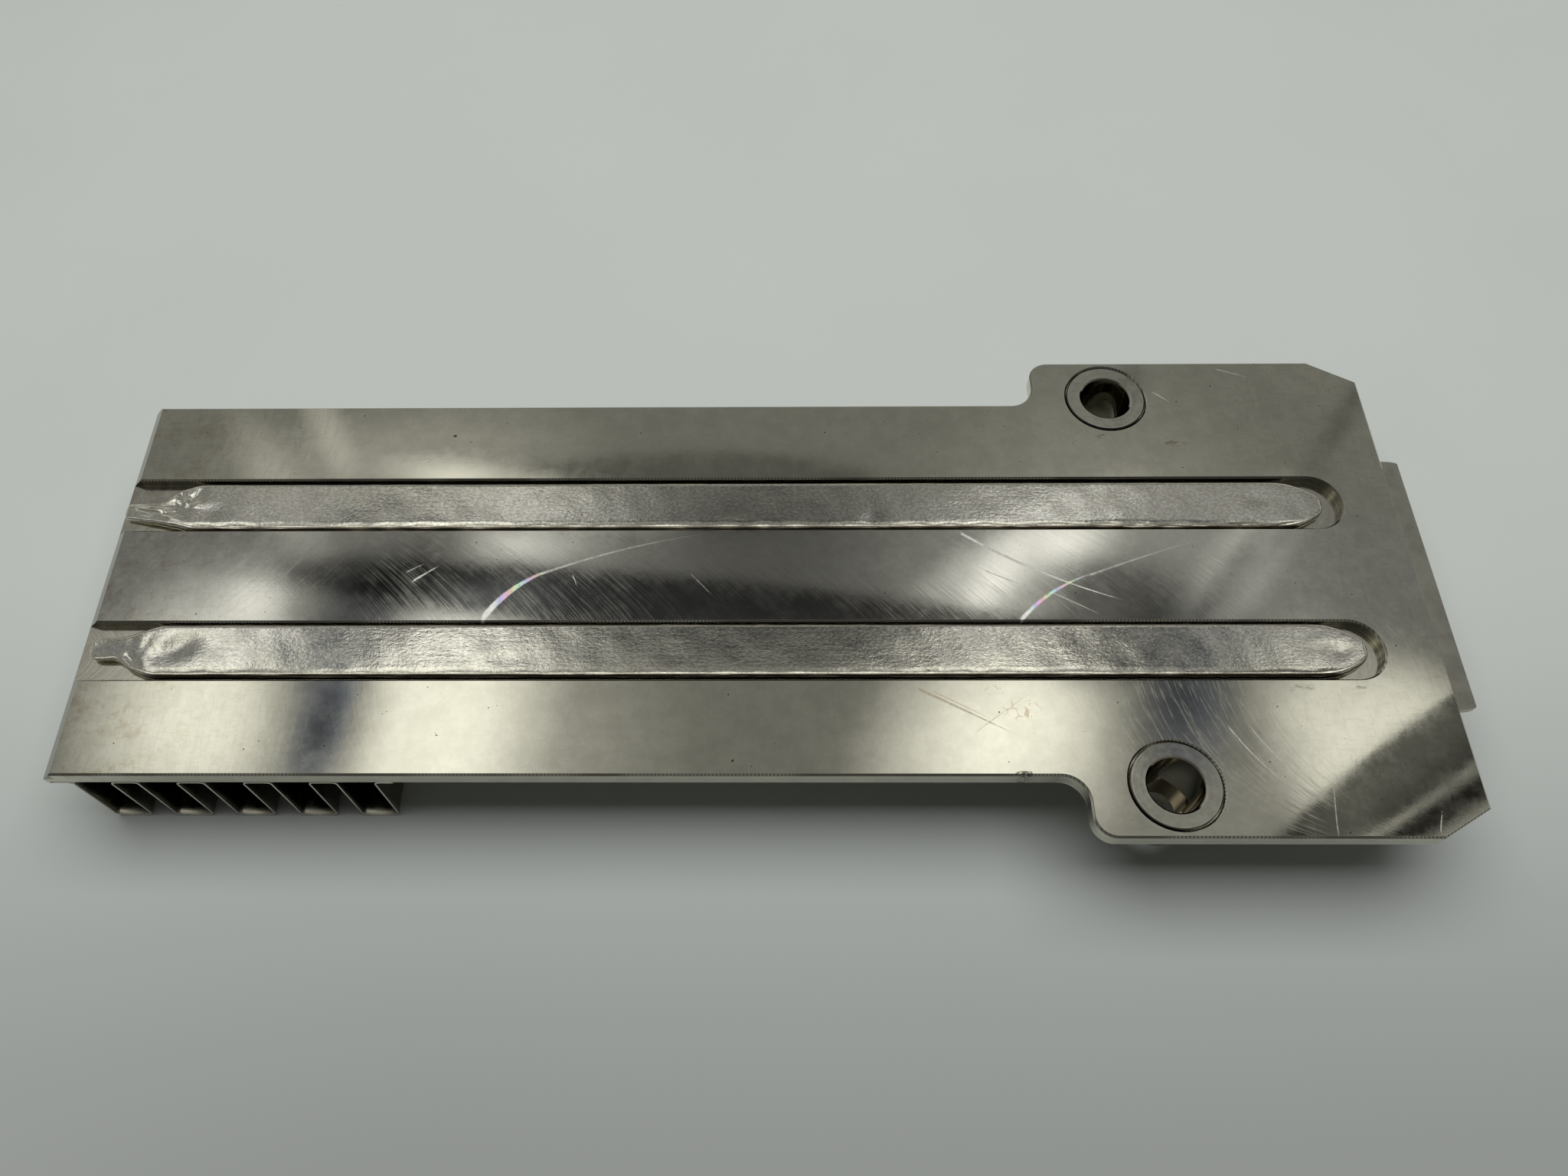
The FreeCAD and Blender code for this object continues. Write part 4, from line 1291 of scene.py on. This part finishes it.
@dataclass(frozen=True)
class HeatPipe:
    """A 6 mm heat pipe pressed flat into its groove.

    In millimetres: tail_rear and tail_front are the corners of the pinched tail, along from the plate's left
    end and across from the pipe's middle. The tail is thinned from above and lifted off the floor towards its
    tip. rolled is how far the near edge of the top is rolled down, from rolled_from to rolled_over further.
    """

    side: Side
    middle: float
    tip: float
    tail_rear: tuple[tuple[float, float], ...]
    tail_front: tuple[tuple[float, float], ...]
    dents: tuple[Dent, ...]
    tail_round: float
    thinned: float = 0.0
    lifted: float = 0.0
    rolled: float = 0.1
    left_end: float = -150.77
    floor: float = 14.5
    thick: float = 1.45
    width: float = 8.55
    neck: float = 12.0
    shoulder: float = 11.2
    nose_length: float = 7.5
    nose_radius: float = 2.6
    nose_lip: float = 0.7
    tail_lip: float = 0.5
    tail_ease: float = 0.8
    thinned_over: float = 7.5
    lifted_over: float = 3.5
    rolled_from: float = 2.75
    rolled_over: float = 0.8
    ripple: float = 0.012
    wander: float = 0.035
    tail_stations: int = 150
    body_stations: int = 430
    top_points: int = 40
    side_points: int = 12
    bottom_points: int = 6

    def build(self, material: bpy.types.Material) -> bpy.types.Object:
        """Makes the pipe as one closed skin and lets it stand for its CAD node.

        Each station along X has a section with flat faces and round sides, half as wide as the outline there
        and as thick as the press left it. The first and last stations close to a point. Dents and a slight
        ripple lower the top, and the pressed sides wander by a few hundredths.

        Args:
            material: The pipe's finish.

        Returns:
            The piece.
        """
        start = self.left_end + self.tail_rear[0][0]
        neck = self.left_end + self.neck
        x = np.concatenate([
            start + (neck - start) * np.linspace(0, 1, self.tail_stations, endpoint=False) ** 1.15,
            neck + (self.tip - neck) * np.sin(np.linspace(0, np.pi / 2, self.body_stations)),
        ])
        rear, front = self.outline(x)
        low, high = self.levels(x)
        tail_end = self.rounding(x - start, self.tail_round)
        middle = (rear + front) / 2
        half_wide = np.maximum((rear - front) / 2 * tail_end, 1e-3)
        lip = np.minimum(self.rounding(x - start, self.tail_lip), self.rounding(self.tip - x, self.nose_lip))
        half_thick = np.maximum((high - low) / 2 * lip, 1e-3)
        run, bulge, face = self.section()
        soft = np.minimum(half_thick, half_wide)[:, None]
        y = middle[:, None] + (half_wide[:, None] - soft) * run + soft * bulge
        z = (low + high)[:, None] / 2 + half_thick[:, None] * face
        along = np.broadcast_to(x[:, None], y.shape)
        top = np.clip(face, 0, 1) ** 2 * lip[:, None]
        z = z - top * self.sunk(along, y)
        wave = np.sin(2.1 * along + 1.3 * np.sin(0.7 * along)) * np.sin(0.83 * along + 0.4)
        y = y + bulge * self.wander * wave
        points = np.stack([along, y, z], axis=-1).reshape(-1, 3)
        name = f"pressed_pipe_{self.side.value}"
        piece = mesh_object(name, points * MM, closed_skin(len(x), len(run)), smooth=True)
        piece.data.materials.append(material)
        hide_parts(f"heat_pipe_{self.side.value}")
        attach(piece, BODY)
        return piece

    def rounding(self, from_end: np.ndarray, radius: float) -> np.ndarray:
        """A quarter circle from 0 at the end to 1 past the radius."""
        return np.sqrt(np.clip(1 - (1 - np.clip(from_end / radius, 0, 1)) ** 2, 0, 1))

    def section(self) -> tuple[np.ndarray, np.ndarray, np.ndarray]:
        """The section's points, from the rear over the top to the front and back underneath.

        Returns:
            Each point's place along the flat from -1 to 1, its share of the round side, and its height.
        """
        top = np.linspace(1, -1, self.top_points)
        bottom = np.linspace(-1, 1, self.bottom_points)
        turn = np.linspace(0, np.pi, self.side_points + 2)[1:-1]
        side = np.ones(self.side_points)
        run = np.concatenate([top, -side, bottom, side])
        bulge = np.concatenate([0 * top, -np.sin(turn), 0 * bottom, np.sin(turn)])
        face = np.concatenate([0 * top + 1, np.cos(turn), 0 * bottom - 1, -np.cos(turn)])
        return run, bulge, face

    def sunk(self, x: np.ndarray, y: np.ndarray) -> np.ndarray:
        """How far the top lies below flat: a ripple of three crossing waves, the rolled near edge, the dents.

        The roll grows with the distance past rolled_from to the power 1.7, and wavers along the pipe.

        Args:
            x: Places along X.
            y: Places across Y.

        Returns:
            The depth at each place.
        """
        ripple = np.sin(0.61 * x + 1.1 * y) + np.sin(0.37 * x - 0.9 * y + 2.0)
        ripple = ripple + np.sin(1.3 * x + 0.5 * y + 0.7)
        uneven = 0.75 + 0.25 * np.sin(0.9 * x + 2.0 * np.sin(0.23 * x))
        past = (self.middle - y - self.rolled_from) / self.rolled_over
        roll = self.rolled * uneven * np.clip(past, 0, 1.2) ** 1.7
        total = self.ripple * (1 + ripple / 3) + roll
        for dent in self.dents:
            total = total + dent.depth_at(x, y)
        return total

    def outline(self, x: np.ndarray) -> tuple[np.ndarray, np.ndarray]:
        """The rear and front edge along the pipe.

        The nose is two flank arcs that meet a round tip. The tail runs straight from corner to corner and is
        eased by averaging each edge over tail_ease to both sides.

        Args:
            x: Places along X.

        Returns:
            Y of the rear and of the front edge.
        """
        half = self.width / 2
        nose_start = self.tip - self.nose_length
        reach = self.nose_length - self.nose_radius
        flank = (reach ** 2 + half ** 2 - self.nose_radius ** 2) / (2 * (half - self.nose_radius))
        side = half - flank + np.sqrt(np.maximum(flank ** 2 - np.clip(x - nose_start, 0, None) ** 2, 0))
        cap = np.sqrt(np.maximum(self.nose_radius ** 2 - np.clip(x - nose_start - reach, 0, None) ** 2, 0))
        meet = nose_start + reach + self.nose_radius * reach / (flank - self.nose_radius)
        nose = np.where(x < meet, side, cap)
        window = x[:, None] + np.linspace(-self.tail_ease, self.tail_ease, 13)
        edges = []
        for corners, sign in ((self.tail_rear, 1.0), (self.tail_front, -1.0)):
            along = [self.left_end + corner[0] for corner in corners] + [self.left_end + self.shoulder]
            across = [corner[1] for corner in corners] + [sign * half]
            tail = np.interp(window, along, across).mean(axis=1)
            edges.append(self.middle + np.where(x < self.left_end + self.shoulder + 1, tail, sign * nose))
        return edges[0], edges[1]

    def levels(self, x: np.ndarray) -> tuple[np.ndarray, np.ndarray]:
        """The levels along the pipe: the tail is thinned from above or lifted off the floor.

        Args:
            x: Places along X.

        Returns:
            Heights of the underside and of the top.
        """
        from_end = x - self.left_end
        high = self.floor + self.thick - self.thinned * np.clip(1 - from_end / self.thinned_over, 0, 1)
        low = self.floor + self.lifted * np.clip(2 - from_end / self.lifted_over, 0, 1)
        return low, high


REAR_PIPE = HeatPipe(
    Side.REAR, 12.05, 29.4,
    ((0.25, 0.85), (6.2, 1.05), (8.0, 3.15)),
    ((0.25, -1.75), (6.0, -2.9), (9.6, -3.75)),
    (
        Dent(-145.6, 12.35, 3.2, 0.5, 0.28, -7.0),
        Dent(-143.4, 13.4, 0.9, 0.45, -0.16),
        Dent(-142.2, 14.0, 0.5, 0.9, 0.16, 20.0),
        Dent(-141.2, 12.7, 0.45, 0.6, -0.1),
        Dent(-140.2, 13.6, 0.8, 1.6, 0.12, -25.0),
        Dent(-139.4, 12.4, 0.9, 0.4, -0.08, 10.0),
        Dent(-145.3, 11.6, 1.2, 0.35, -0.18, -8.0),
        Dent(-147.2, 10.9, 1.2, 0.4, 0.12, -20.0),
        Dent(-142.6, 11.0, 1.5, 0.6, 0.12, -15.0),
        Dent(-146.5, 11.2, 2.6, 0.22, 0.18, -14.0),
        Dent(-144.5, 10.5, 2.4, 0.2, -0.1, -16.0),
        Dent(-147.6, 11.8, 1.6, 0.18, -0.1, -8.0),
        Dent(-137.0, 11.0, 2.0, 1.6, 0.06),
        Dent(-38.0, 9.6, 1.6, 1.0, 0.05, 20.0),
        Dent(-58.0, 10.2, 2.2, 1.2, 0.03),
        Dent(20.0, 13.0, 3.0, 1.2, 0.03, 10.0),
    ),
    tail_round=0.7,
    thinned=0.5,
)
FRONT_PIPE = HeatPipe(
    Side.FRONT, -12.14, 30.0,
    ((1.6, 1.9), (6.4, 2.3), (8.6, 3.3)),
    ((1.6, -1.3), (5.9, -1.4), (8.1, -3.1)),
    (
        Dent(-148.5, -11.6, 4.6, 2.6, 0.3),
        Dent(-143.2, -11.0, 0.9, 1.8, 0.035, 15.0),
        Dent(-141.4, -11.6, 0.8, 1.6, 0.03, -20.0),
        Dent(-139.9, -13.0, 0.8, 1.6, 0.035, 30.0),
        Dent(-136.6, -11.6, 2.6, 1.8, 0.16, 20.0),
        Dent(-142.6, -13.8, 1.4, 0.6, 0.16, -40.0),
        Dent(24.0, -10.6, 2.4, 0.9, -0.02, 10.0),
        Dent(26.5, -12.5, 1.4, 1.0, 0.04, 30.0),
        Dent(-90.0, -13.6, 2.6, 1.1, 0.03),
    ),
    tail_round=1.3,
    lifted=0.4,
    rolled=0.06,
)
REAR_SOFTBOX = SoftLamp("rear_softbox", (-55.0, 140.0, 640.0), (900.0, 520.0), 4.05)


def main() -> None:
    """Builds the studio, then each piece in order."""
    logging.basicConfig(level=logging.INFO, format="%(message)s")
    bpy.context.scene.view_settings.view_transform = "Standard"
    PhotoCamera().build()
    Studio().build()
    Table().build()
    REAR_SOFTBOX.build()
    log.info("studio ready")
    for part in (BasePlate(), ScrewCup(Side.REAR), ScrewCup(Side.FRONT), ContactBlock()):
        log.info("%s dressed", part.build())
    satin = PipeFinish().build()
    for one in (REAR_PIPE, FRONT_PIPE):
        piece = one.build(satin)
        log.info("%s: %d faces", piece.name, len(piece.data.polygons))
    fin = FoldedFin()
    piece = fin.build(fin.finish.build())
    log.info("%s: %d faces", piece.name, len(piece.data.polygons))


if __name__ == "__main__":
    main()
